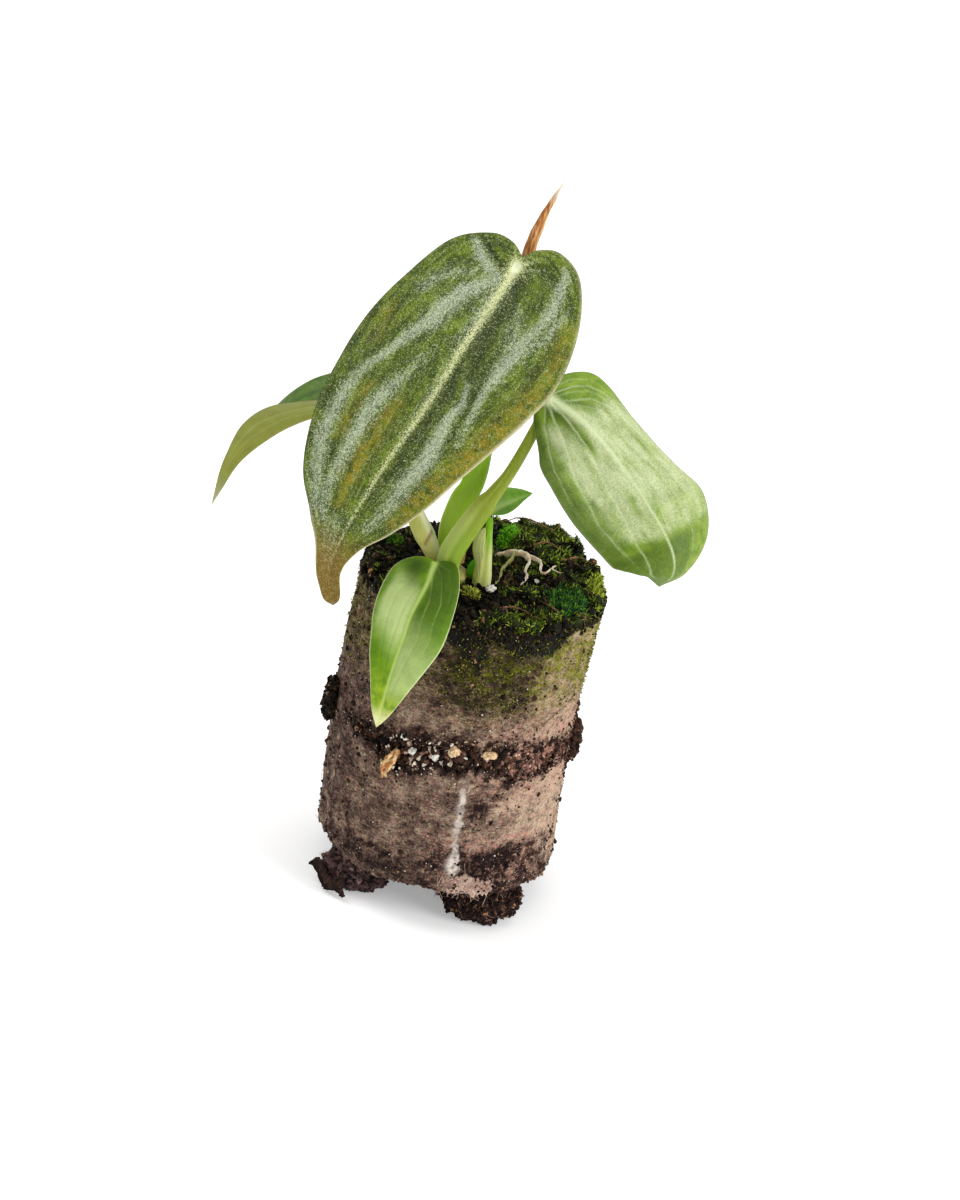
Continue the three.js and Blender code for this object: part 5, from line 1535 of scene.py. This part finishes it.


# %% [markdown]
# The main leaf is the one that gives the plant its name: an olive-black velvet blade with gold patches.
# Its skin is made of domed cells that sparkle, and long silvery bands lie between its veins. The bands
# are partly the leaf's own silver and partly painted reflection. They are soft strokes in the flat
# layout, and a random number in each cell, a sixth of a millimetre wide, decides which cells get a
# painted glint and which get painted shade. That gives the grain of glitter that a smooth mask would not.

# %% Leaf finish
def leaf_finish(name, deep, fresh, silver, gold, rim, beneath, rib, speckle, cell=0.16, gloss=0.25, vein=0.55,
                streaks=1.0, tip=None):
    """speckle: how far the silver and the painted sheen break into single cells. streaks: how far strands
    show, 1 on velvet.
    """
    finish = Finish(name)
    flat = finish.flat()
    along = finish.add("ShaderNodeSeparateXYZ", {}, {0: flat}, "Y")
    lane = finish.mark("lane", 16.0)
    lanes = finish.add("ShaderNodeCombineXYZ", {}, {"X": lane, "Y": finish.times(along, 0.14)})
    strands = finish.noise(lanes, 0.8, 4.0, 0.35 + 0.25 * speckle)
    unrest = finish.swing(strands, streaks)
    clouds = finish.noise(flat, 3.4, 4.0, 0.65)
    grain = finish.sparkle(flat, cell)
    calmer = 0.16 * (1 - speckle)
    body = finish.mix(finish.spread(finish.plus(unrest, clouds), 0.32 - calmer, 0.68 + calmer), deep, fresh)
    # The dark mark darkens towards the deep colour; on the main and front leaves part of it is painted shade.
    body = finish.mix(finish.mark("dark", 0.85), body, toned(deep, 0.4))
    body = finish.mix(finish.times(finish.mark("vein"), vein), body, toned(deep, 0.55))
    blots = finish.spread(finish.noise(flat, 1.5, 2.0), 0.3, 0.62)
    warm = finish.mix(finish.spread(finish.noise(flat, 2.3, 1.0), 0.48, 0.62), gold,
                      toned(gold, 1.1, 0.9, 0.5))
    body = finish.mix(finish.times(finish.mark("gold"), finish.times(blots, 0.9)), body, warm)
    calm = finish.minus(1.0, finish.mark("gold", 0.55))
    edge = finish.swing(finish.noise(flat, 0.9, 3.0, 0.7), 1.3 * speckle)
    edge = finish.plus(edge, finish.swing(grain, 0.5))
    edge = finish.plus(edge, finish.times(unrest, 0.8))
    # Silver bands: the main leaf's own silver with painted reflection on it; on the right and front leaves, a
    # painted sheen and highlight.
    band = finish.spread(finish.plus(finish.mark("silver"), edge), 0.0, 1.15)
    plain = finish.times(finish.mark("silver"), finish.spread(clouds, 0.34, 0.64, 0.8 * (1 - speckle),
                                                              1 - speckle))
    shimmer = finish.plus(plain, finish.times(band, speckle), clamp=True)
    body = finish.mix(finish.times(shimmer, 0.85 - 0.2 * speckle), body, silver)
    away = finish.minus(1.0, finish.times(shimmer, 0.4))
    # Dark cells: painted shade in the grain of the velvet.
    dim = finish.times(finish.spread(grain, 0.4, 0.0, 0.0, 0.65 * speckle), away)
    calm = finish.times(calm, finish.minus(1.0, finish.mark("dark", 0.65)))
    body = finish.mix(finish.times(dim, calm), body, toned(deep, 0.4))
    # Bright cells: painted glints.
    lit = finish.spread(finish.plus(grain, finish.times(shimmer, 0.4)), 0.82, 1.15)
    glint = finish.mix(shimmer, tuple(0.62 * a + 0.38 * b for a, b in zip(fresh, rib)), toned(silver, 1.15))
    lit = finish.times(lit, finish.spread(shimmer, 0.0, 0.8, 0.45, 1.0))
    body = finish.mix(finish.times(finish.times(lit, 0.9 * speckle), calm), body, glint)
    glow = finish.plus(finish.mark("rib"), finish.swing(grain, 0.9 * speckle * speckle))
    body = finish.mix(finish.spread(glow, 0.12, 1.08), body, rib)
    body = finish.mix(finish.spread(finish.mark("rib"), 0.95, 1.3, 0.0, 0.85), body, paint(238, 246, 210))
    tip_share = finish.mark("tip", 0.85)
    tip_colour = finish.mix(finish.spread(grain, 0.6, 1.0, 0.0, 0.45), tip or gold, toned(rim, 0.8, 0.7, 0.4))
    body = finish.mix(tip_share, body, tip_colour)
    body = finish.mix(finish.mark("rim"), body, rim)
    below = finish.mix(finish.spread(clouds, 0.35, 0.65), toned(beneath, 0.84), beneath)
    below = finish.mix(finish.spread(strands, 0.5, 0.75, 0.0, 0.18), below, toned(beneath, 0.6))
    below = finish.mix(finish.mark("vein", 0.3), below, rib)
    below = finish.mix(finish.mark("tip", 0.7), below, rim)
    body = finish.mix(finish.mark("under"), body, below)
    quilt = finish.bump(finish.cells(flat, cell * 1.3), 0.035 * speckle + 0.006)
    upper = finish.minus(1.0, finish.mark("under", 0.8))
    relief = finish.bump(finish.times(strands, upper), 0.02 + 0.1 * streaks, quilt)
    return finish.wear(Base_Color=body, Roughness=finish.spread(grain, 0.0, 1.0, 0.6, 0.42), Normal=relief,
                       Specular_IOR_Level=gloss, Sheen_Weight=0.04 * speckle, Sheen_Roughness=0.4)


# %% The main leaf
MAIN_SHAPE = dict(
    midrib=[[-5.4, 3, 133.8], [-9.7, -3.7, 124.9], [-13.6, -9.2, 117.1], [-17.1, -14.3, 109],
            [-21.2, -19.1, 101.2], [-25.2, -23.8, 92.5], [-28.5, -28, 83.9], [-29.6, -30.5, 77.7],
            [-27.8, -33, 71.7]],
    faces=[[-0.1, -0.88, 0.47], [-0.08, -0.9, 0.43], [-0.15, -0.92, 0.35]],
    rise=0.13,
    arch=0.16,
    left=[[-2.6, 0], [-4.2, -3.4], [-3.4, -8], [2.2, -14.2], [14.5, -18], [28.5, -19.9], [43.4, -18.2],
          [55.2, -13.6], [61.6, -8.1], [66.8, -4], [72, -2.4], [75.6, -1.7], [77, 0]],
    right=[[-2.6, 0], [-5.3, 1.8], [-7, 6], [-4.4, 12], [4, 17], [15.5, 19.6], [26, 18.2],
           [35.2, 15.2], [49.6, 11.6], [58, 8.2], [64.5, 4.2], [70, 2.3], [75.6, 1.6], [77, 0]],
)
MAIN_VEINS = [
    line([(0, -0.5), (1, -6), (6, -11.5), (16, -14.5), (28, -16.8), (40, -16.6), (52, -13.4),
          (62, -7)], 0.9, 0.8),
    line([(2, -0.4), (10, -4), (18, -6.6), (28, -9.6), (40, -11.6), (50, -10.6), (60, -7.2)], 0.9, 0.9),
    line([(1.4, -2.4), (0.4, -4.4), (-1, -7.2), (-2.4, -9.6)], 0.6, 1.1),
    line([(12, -0.4), (22, -3), (32, -5), (44, -6.3), (54, -5.6), (64, -3.4)], 0.8, 0.8),
    line([(30, -0.3), (40, -2.2), (52, -3), (64, -1.8)], 0.7, 0.7),
    line([(0, 0.5), (-3, 5), (0, 10), (8, 13.6), (18, 14.6), (30, 13), (42, 11), (54, 8.4),
          (62, 5)], 0.9, 0.8),
    line([(2, 0.4), (8, 4), (16, 6.6), (28, 6.9), (40, 7.6), (52, 7), (62, 3.6)], 0.9, 0.9),
    line([(14, 0.4), (24, 1.8), (36, 3.4), (50, 3.4), (62, 1.8)], 0.7, 0.7),
]
MAIN_PAINTS = {
    # Silver strokes: the leaf's own silver bands, partly painted reflection.
    "silver": [
        [[-0.4, -9.4, 0.9, 0.8], [1.3, -7.6, 1.3, 1], [2.5, -5.2, 1.2, 1], [3.2, -3.2, 1.2, 0.9],
         [3.9, -2, 1.3, 0.8]],
        [[3.7, -2, 1.5, 0.8], [9.1, -5.7, 1.9, 1], [14.9, -7.6, 2.1, 1], [18.1, -8.2, 1.9, 1],
         [21.7, -9.8, 1.3, 0.9], [26.7, -11.9, 1.1, 0.85], [31.1, -13.8, 1.1, 0.75], [36.1, -14.9, 1.3, 0.8],
         [41, -14.7, 1.6, 0.85], [49.4, -13.3, 1.8, 0.8], [56, -10.2, 1.6, 0.75], [61, -7, 1.3, 0.6]],
        [[13.7, -13.2, 1.3, 0.5], [10.4, -12.4, 1.6, 0.6], [7.7, -9.9, 1.4, 0.5], [4, -5, 1.2, 0.4]],
        [[22, -4.6, 0.9, 0.3], [27.4, -6.2, 1.2, 0.5], [34.5, -8, 1.6, 0.85], [39.3, -8.7, 1.7, 0.95],
         [48.9, -8, 1.5, 0.85], [56.8, -7.3, 1.3, 0.7], [62, -5, 1.2, 0.6]],
        [[25, 4.6, 0.6, 0.6], [29, 5.8, 0.8, 0.9], [33.1, 5, 1.2, 1], [37.3, 5.6, 1.5, 1],
         [42.6, 6.2, 1.8, 1], [48.9, 5.2, 1.8, 0.9], [53.1, 5.2, 1.4, 0.7], [60, 3.4, 1.1, 0.5]],
        [[-4.6, 8.2, 0.8, 0.5], [-3.4, 9.4, 1.1, 0.8], [-0.5, 10, 1.3, 0.9], [3.8, 10.9, 1.5, 0.85],
         [7.7, 10.5, 1.5, 0.8]],
        [[3, 13.4, 1, 0.5], [9.5, 12.6, 1.2, 0.6], [14, 10.6, 1.4, 0.6]],
        [[7.7, 10.5, 1.4, 0.7], [12.1, 9.6, 1.6, 0.9], [16.5, 9, 1.7, 1], [21, 8.6, 1.5, 1],
         [25, 8.3, 0.9, 0.9], [31, 8.6, 0.8, 0.8], [36, 9.2, 0.8, 0.5]],
        [[7, 5.2, 1.2, 0.4], [12.7, 7.4, 1.8, 0.65], [17, 9, 1.6, 0.6]],
        [[4, -0.6, 1.8, 0.7], [12, -0.9, 1.8, 0.6], [22, -0.8, 1.2, 0.4], [40, -0.5, 0.9, 0.3]],
        [[62, -3, 2.2, 0.5], [70, -0.6, 1.6, 0.45]],
    ],
    # Dark strokes: painted shade in the fold by the notch and along the left edge, and a darker tone right of
    # the midrib.
    "dark": [
        [[2.6, 2.2, 1.8, 1], [15.7, 2.6, 2.4, 1.1], [23.6, 4.4, 1.6, 1], [28.5, 6.3, 1.2, 0.7]],
        [[22, 5.8, 1, 0.7], [27, 6.9, 0.7, 0.9], [31, 6.9, 0.5, 0.6]],
        [[24, 1.6, 1.2, 1], [32.3, 1.8, 1.3, 1], [39.7, 2.1, 1.2, 0.9], [48.8, 1.9, 1.1, 0.9],
         [58, 1.2, 0.9, 0.5]],
        [[3, 7.8, 1.8, 0.6], [-2, 5.6, 1.6, 0.6]],
        [[-2, -9, 0.5, 0.9], [-1, -7.2, 0.6, 1.15], [0.4, -4.4, 0.6, 1.15], [1.3, -2.6, 0.4, 0.8]],
        [[-2.6, -6, 1, 0.7], [-2, -3.4, 0.8, 0.6]],
        [[20, -19, 1.2, 0.5], [40, -18.5, 1.2, 0.5], [52, -14.4, 0.8, 0.4]],
    ],
    "gold": [
        [[6, 15.5, 2, 0.6], [15, 17.4, 1.8, 0.6], [25, 16.2, 2.2, 0.9], [33, 13.4, 2.4, 1],
         [40, 12, 2.2, 1], [48, 10, 2, 0.9], [56, 7.6, 1.6, 0.7]],
        [[36, -5, 1.4, 0.7], [45, -5, 1.7, 0.95], [52, -4.6, 1.6, 0.9], [58, -3.6, 1.2, 0.6]],
        [[36, -11.6, 1, 0.7], [47, -11.2, 1.1, 0.7]],
        [[20.6, -16, 2, 0.4], [26, -15.4, 1.4, 0.3]],
    ],
    "tip": lambda a, b, across, share: smooth(a, 60, 70),
    "rim": lambda a, b, across, share: smooth(across, 0.96, 1.0) * (0.4 + 0.6 * window(a, 18, 74, 8))
    + 0.8 * smooth(-across, 0.93, 1.0) * smooth(a, 58, 66),
    "rib": lambda a, b, across, share: near_paths(a, b, [
        [[-0.4, 0, 1.5, 1.45], [0.8, 0, 1.4, 1.25], [3, 0, 1.1, 0.95], [12, 0, 1.0, 0.8], [22, 0, 0.8, 0.78],
         [45, 0, 0.55, 0.72], [62, 0, 0.35, 0.55], [77, 0, 0.25, 0.2]],
        line([(0, 0), (-3.4, 3)], 0.5, 1.1), line([(0, 0), (-3.2, -2)], 0.6, 1.1),
        line([(0, 0), (1.4, 3.4)], 0.5, 0.8), line([(0, 0), (3, -3.4)], 0.6, 0.8),
        line([(0, 0), (-1.6, 4.6)], 0.4, 0.7)]),
}
main_finish = leaf_finish(
    "velvet_black_gold", deep=paint(54, 74, 2), fresh=paint(106, 126, 8), silver=paint(174, 184, 160),
    gold=paint(140, 130, 2), rim=paint(214, 204, 160), beneath=paint(120, 128, 74), rib=paint(222, 226, 168),
    speckle=1.0,
    tip=paint(126, 96, 32))
add_leaf("leaf_main", "velvet_blade", main_finish, MAIN_SHAPE, MAIN_VEINS, MAIN_PAINTS, 150, 42, 0.4, 0.2)

# %% [markdown]
# The right leaf is younger and smoother. Its middle carries a pale silvery sheen, a painted reflection,
# which stops at a soft line near the tip, and pale veins run the length of it.

# %% The right leaf
RIGHT_SHAPE = dict(
    midrib=[[5.9, 2, 108.5], [12.5, -1.1, 106.7], [18.3, -3.8, 103.4], [24.1, -6.5, 99], [28.1, -8.3, 95.5],
            [33.7, -11, 89.7], [36.2, -12.1, 85.5], [36.5, -11.5, 81.5], [34.7, -9.6, 78]],
    faces=[[0.1, -0.65, 0.75], [0.25, -0.68, 0.7], [0.3, -0.8, 0.55], [0.45, -0.95, 0.3], [0.7, -0.75, 0.2]],
    rise=-0.15,
    arch=0.22,
    left=[[-0.8, 0], [-1.2, -2.5], [1.2, -6.5], [7.6, -11.5], [15, -13.2], [24.6, -13.8], [33.5, -12.6],
          [40.4, -11], [46, -6.5], [50.2, 0]],
    right=[[-0.8, 0], [-2.4, 3.5], [-1.2, 9], [2.5, 12.4], [10.5, 11], [17.4, 10.3], [25, 10.8], [32, 12.8],
           [38, 10.6], [44, 6.8], [50.2, 0]],
)
RIGHT_VEINS = [
    line([(1, -0.3), (8, -2.2), (15.3, -3.4), (22.6, -5), (30.1, -5.4), (35.4, -5.8), (44.7, -4.8),
          (49, -1.5)], 0.35),
    line([(0.5, -0.8), (4, -3.4), (8.4, -5.3), (16.7, -8.7), (28.2, -10.2), (35.5, -8.8), (44, -6.6)], 0.35),
    line([(0, -1), (3, -5.5), (7.3, -8.6), (12.3, -10.7), (20, -12), (28, -12.2)], 0.3, 0.8),
    line([(5, 0.8), (12, 4), (18, 5.2), (23.5, 6.2), (30, 6.6), (38, 6), (46, 3)], 0.35, 0.8),
    line([(-0.4, 0.6), (0.3, 2.8), (1.6, 6), (3.7, 8.4), (6.5, 9.4), (12, 9.8)], 0.35, 0.9),
    line([(1.5, 0.6), (3.8, 2.8), (6.1, 6.1), (9.4, 7.6), (11.4, 8.3), (18, 8.7), (28, 10)], 0.35, 0.9),
    line([(2.5, 0.6), (6, 3), (9, 5.4), (13, 6.6), (18, 7)], 0.3, 0.7),
    line([(-0.8, 1), (-1, 4), (0.2, 7.4), (2.6, 10), (7, 10.8)], 0.3, 0.7),
    line([(0.6, 0.8), (2, 4), (4.4, 7.2), (8, 8.6), (14, 9.2)], 0.5, 0.6),
]


RIGHT_STREAK = [[[0, -1.6, 1.6, 1], [6, -2.2, 1.3, 1], [13.4, -2.4, 0.9, 0.9], [17, -3, 0.6, 0.3]]]
RIGHT_RIB = [[[0, 0, 1.9, 1.1], [5, 0.2, 1.2, 0.95], [10, 0.3, 0.9, 0.85], [24, 0, 0.5, 0.65],
              [40, 0, 0.35, 0.7], [50, 0, 0.3, 0.3]], [[8, 1.2, 1.6, 0.35], [16, 1.4, 1.6, 0.4],
                                                       [26, 1, 1.2, 0.2]]]


def right_sheen(a, b, across, share):
    """The painted reflection, a pale wash: everywhere but the base lobe, the streak by the midrib, the left
    margin and the tip.
    """
    limit = np.interp(b, [-10, -6, -1.6, 3.3, 8.5], [33.3, 35.2, 37, 36.8, 37])
    start, full = np.interp(b, [-6, -3], [0.5, 2.5]), np.interp(b, [-6, -3], [3, 8])
    wash = smooth(a, start, full) * (1 - smooth(a, limit - 1.6, limit + 0.8))
    lobe = smooth(b, 0.5, 4) * (1 - smooth(a, 6, 11))
    streak = near_paths(a, b, RIGHT_STREAK)
    strands = crinkle(at_height(a * 0.16, across * 8), 1.0, 3, seed=41)
    wash = wash * np.clip(0.86 + 0.55 * strands, 0.35, 1.1)
    wash = wash * (1 - 0.9 * lobe) * (1 - streak) * (1 - 0.25 * smooth(a, 20, 32))
    return wash * (1 - 0.9 * smooth(-across, 0.5, 0.82))


RIGHT_PAINTS = {
    "silver": right_sheen,
    "dark": lambda a, b, across, share: np.maximum.reduce([
        0.75 * smooth(-across, 0.62, 0.86),
        0.7 * smooth(a, 35, 39) * (1 - 0.7 * smooth(across, 0.5, 0.8)),
        near_paths(a, b, [line([(23, -8.6), (31, -8.4)], 0.6, 0.7),
                          line([(1, -1.6), (6, -2.2), (14, -2.6)], 1.2, 0.8)]),
        0.5 * near_paths(a, b, [line([(0, 1.8), (1.2, 5), (3.2, 7.8), (6, 9)], 0.5),
                                line([(4, 2), (7.5, 5), (11, 7)], 0.6)])]),
    "gold": lambda a, b, across, share: 0.35 * smooth(across, 0.5, 0.9) * smooth(a, 24, 34),
    "tip": nowhere,
    "rib": lambda a, b, across, share: np.maximum(
        (0.5 + 0.15 * (1 - smooth(a, 9, 16))) * near_paths(a, b, RIGHT_VEINS), near_paths(a, b, RIGHT_RIB)),
}
right_finish = leaf_finish(
    "silver_sheen_leaf", deep=paint(86, 120, 14), fresh=paint(138, 166, 46), silver=paint(204, 212, 168),
    gold=paint(164, 182, 92), rim=paint(150, 168, 108), beneath=paint(150, 170, 112),
    rib=paint(214, 226, 178),
    speckle=0.42, cell=0.17, vein=0.0, streaks=0.3)
add_leaf("leaf_right", "silver_blade", right_finish, RIGHT_SHAPE, RIGHT_VEINS, RIGHT_PAINTS,
         120, 34, 0.16, 0.1)

# %% [markdown]
# The left leaf is a gutter seen nearly edge-on, so it shows its olive underside in front and a strip of
# its upper face behind.

# %% The left leaf
LEFT_SHAPE = dict(
    midrib=[[-27.2, 3, 101.1], [-33.9, 3.2, 97.8], [-40.4, 3.5, 94.9], [-47.5, 4, 89.4], [-54, 4.5, 81],
            [-57.8, 5, 70.3]],
    faces=[[-0.2, -0.1, 1], [-0.5, 0.15, 0.8], [-0.7, 0.45, 0.5], [-0.8, 0.4, 0.2]],
    rise=0.75,
    arch=0.35,
    left=[[-1.2, 0], [-2.6, -3], [-0.5, -7], [6, -8.6], [14, -9.2], [22, -9], [30, -6], [38, -2.4],
          [45.6, 0]],
    right=[[-1.2, 0], [-2.6, 2.6], [0, 5.4], [7, 6.6], [13, 7.4], [18, 8.4], [25.4, 6.1], [33.4, 2.7],
           [45.6, 0]],
)
LEFT_VEINS = [
    line([(0, -0.4), (4, -3.2), (14, -5), (26, -4.4), (38, -1.4)], 0.35, 0.8),
    line([(8, -0.3), (18, -2.2), (30, -1.9), (40, -0.6)], 0.3, 0.6),
    line([(0, 0.4), (4, 2.8), (14, 4.4), (24, 4.2), (36, 1.2)], 0.35, 0.8),
    line([(8, 0.3), (18, 2), (28, 1.9), (38, 0.7)], 0.3, 0.6),
]
LEFT_PAINTS = {
    "silver": [line([(4, -6), (14, -7), (24, -5.5)], 1.0, 0.2), line([(6, 2), (18, 3), (30, 2)], 1.0, 0.2)],
    "dark": [line([(8, -1.4), (20, -1.8), (30, -1.4)], 0.9, 0.5)],
    "gold": [line([(20, 4), (30, 3)], 1.5, 0.3)],
    "tip": lambda a, b, across, share: smooth(a, 36, 45),
}
left_finish = leaf_finish(
    "olive_leaf", deep=paint(50, 84, 2), fresh=paint(84, 120, 8), silver=paint(140, 160, 80),
    gold=paint(150, 146, 60), rim=paint(178, 176, 140), beneath=paint(142, 148, 56), rib=paint(176, 186, 120),
    speckle=0.4, cell=0.2, streaks=0.4)
add_leaf("leaf_left", "olive_blade", left_finish, LEFT_SHAPE, LEFT_VEINS, LEFT_PAINTS, 100, 28, 0.14, 0.08)

# %% [markdown]
# The front leaf hangs over the rim. It is thin, glossy and bright. A painted highlight makes it pale on
# its left half where the light lies on it, painted shade darkens its right half, and its tip fades to cream.

# %% The front leaf
FRONT_SHAPE = dict(
    midrib=[[-10.2, -10.5, 74.1], [-11, -18, 72.2], [-12.7, -27, 69.6], [-13.2, -30.5, 66.6],
            [-14, -32.5, 61.8], [-14.7, -34, 56], [-15.3, -35, 48.1]],
    faces=[[-0.1, -0.5, 0.85], [-0.1, -0.8, 0.6], [-0.1, -0.95, 0.3]],
    rise=0.12,
    arch=0.3,
    left=[[-0.6, 0], [-1.4, -2], [-0.4, -5], [3, -7.7], [9, -8.3], [17, -7.6], [25.2, -6], [32, -3.6],
          [38, -1.7], [41.3, 0]],
    right=[[-0.6, 0], [-1.4, 2], [-0.6, 4.4], [5, 6.2], [13, 7.6], [20, 8.1], [26, 6.6], [32, 4.4], [38, 2],
           [41.3, 0]],
)
FRONT_VEINS = [
    line([(0, -0.3), (4, -2.6), (12, -4.6), (22, -4.2), (34, -1.6)], 0.2, 0.8),
    line([(3, -0.2), (12, -2), (24, -2.1), (36, -0.8)], 0.25, 0.7),
    line([(0, 0.3), (4, 2.2), (12, 4.4), (22, 5), (34, 2)], 0.2, 0.8),
    line([(3, 0.2), (12, 2), (22, 2.7), (34, 1)], 0.2, 0.9),
    line([(0, 0.5), (2, 3.4), (8, 5.2), (16, 6.4)], 0.25, 0.7),
]
FRONT_PAINTS = {
    # A painted highlight on the left half, and low on the right half.
    "silver": lambda a, b, across, share: np.maximum(
        1.25 * window(b, -6.6, -0.4, 1.0) * window(a - 0.8 * b, 11, 25, 5),
        0.8 * smooth(a - 0.6 * b, 14, 26) * smooth(b, -0.4, 0.8) * (1 - smooth(a, 31, 37))),
    # Darker by the base, and painted shade over the right half.
    "dark": lambda a, b, across, share: np.maximum(
        near_paths(a, b, [[[1.5, -3.4, 2.2, 1.1], [6, -3.6, 1.8, 0.9], [14, -1.2, 0.7, 0.6]]]),
        0.8 * smooth(b, 0.0, 1.4) * (1 - smooth(a + 1.2 * b, 16, 36)) * (1 - 0.4 * smooth(across, 0.8, 1))),
    "gold": lambda a, b, across, share: smooth(a, 26, 40) * 0.8,
    "tip": lambda a, b, across, share: smooth(a, 36, 40) * 1.1,
    "rib": lambda a, b, across, share: np.maximum(
        (0.5 + 0.2 * crinkle(at_height(a, b), 6.0, 2, seed=7)) * near_paths(a, b, FRONT_VEINS) * (b > 0)
        * (1 - smooth(a, 24, 34)),
        near_paths(a, b, [[[0, 0, 0.8, 1], [12, 0, 0.45, 0.85], [41, 0, 0.35, 0.7]]])),
}
front_finish = leaf_finish(
    "glossy_leaf", deep=paint(76, 118, 0), fresh=paint(122, 162, 10), silver=paint(194, 212, 140),
    gold=paint(178, 202, 46), rim=paint(216, 226, 170), beneath=paint(160, 184, 104),
    rib=paint(190, 212, 116),
    speckle=0.1, cell=0.22, vein=0.0, streaks=0.1, tip=paint(234, 236, 170))
add_leaf("leaf_front", "glossy_blade", front_finish, FRONT_SHAPE, FRONT_VEINS, FRONT_PAINTS,
         110, 30, 0.14, 0.06)

# %% The small back leaf
BACK_SHAPE = dict(
    midrib=[[-1.4, -3, 84.4], [1.3, -1, 85.7], [4, 1, 86.7], [6.4, 2, 87.9]],
    faces=[[-0.1, -0.6, 0.8], [-0.1, -0.6, 0.8]],
    rise=0.15,
    arch=0.1,
    left=[[-0.5, 0], [0.2, -1.4], [2.2, -2.4], [4.5, -2.2], [7.4, -1.1], [10, 0]],
    right=[[-0.5, 0], [0.6, 1.6], [3, 2.9], [5.4, 3.3], [7.8, 2], [10, 0]],
)
BACK_VEINS = [line([(0, 0.2), (2, 1.2), (5, 1.5), (9, 0.4)], 0.2, 0.7),
              line([(0, -0.2), (3, -1.2), (8, -0.6)], 0.2, 0.7)]
BACK_PAINTS = {
    "silver": lambda a, b, across, share: 0.8 * (1 - smooth(a, 1, 5)) * smooth(b, -0.5, 2),
    "dark": lambda a, b, across, share: 0.4 * smooth(-b, 0, 1.5),
    "gold": nowhere,
    "tip": nowhere,
}
back_finish = leaf_finish(
    "young_leaf", deep=paint(108, 166, 44), fresh=paint(148, 200, 74), silver=paint(226, 236, 190),
    gold=paint(190, 206, 100), rim=paint(180, 206, 130), beneath=paint(150, 190, 104),
    rib=paint(190, 216, 130),
    speckle=0.1, cell=0.22, vein=0.2, streaks=0.2)
add_leaf("leaf_back", "young_blade", back_finish, BACK_SHAPE, BACK_VEINS, BACK_PAINTS, 50, 14, 0.06, 0.03)

# %% Close the frame
print("pieces:", len(made), "triangles:", sum(count for _, count in made))
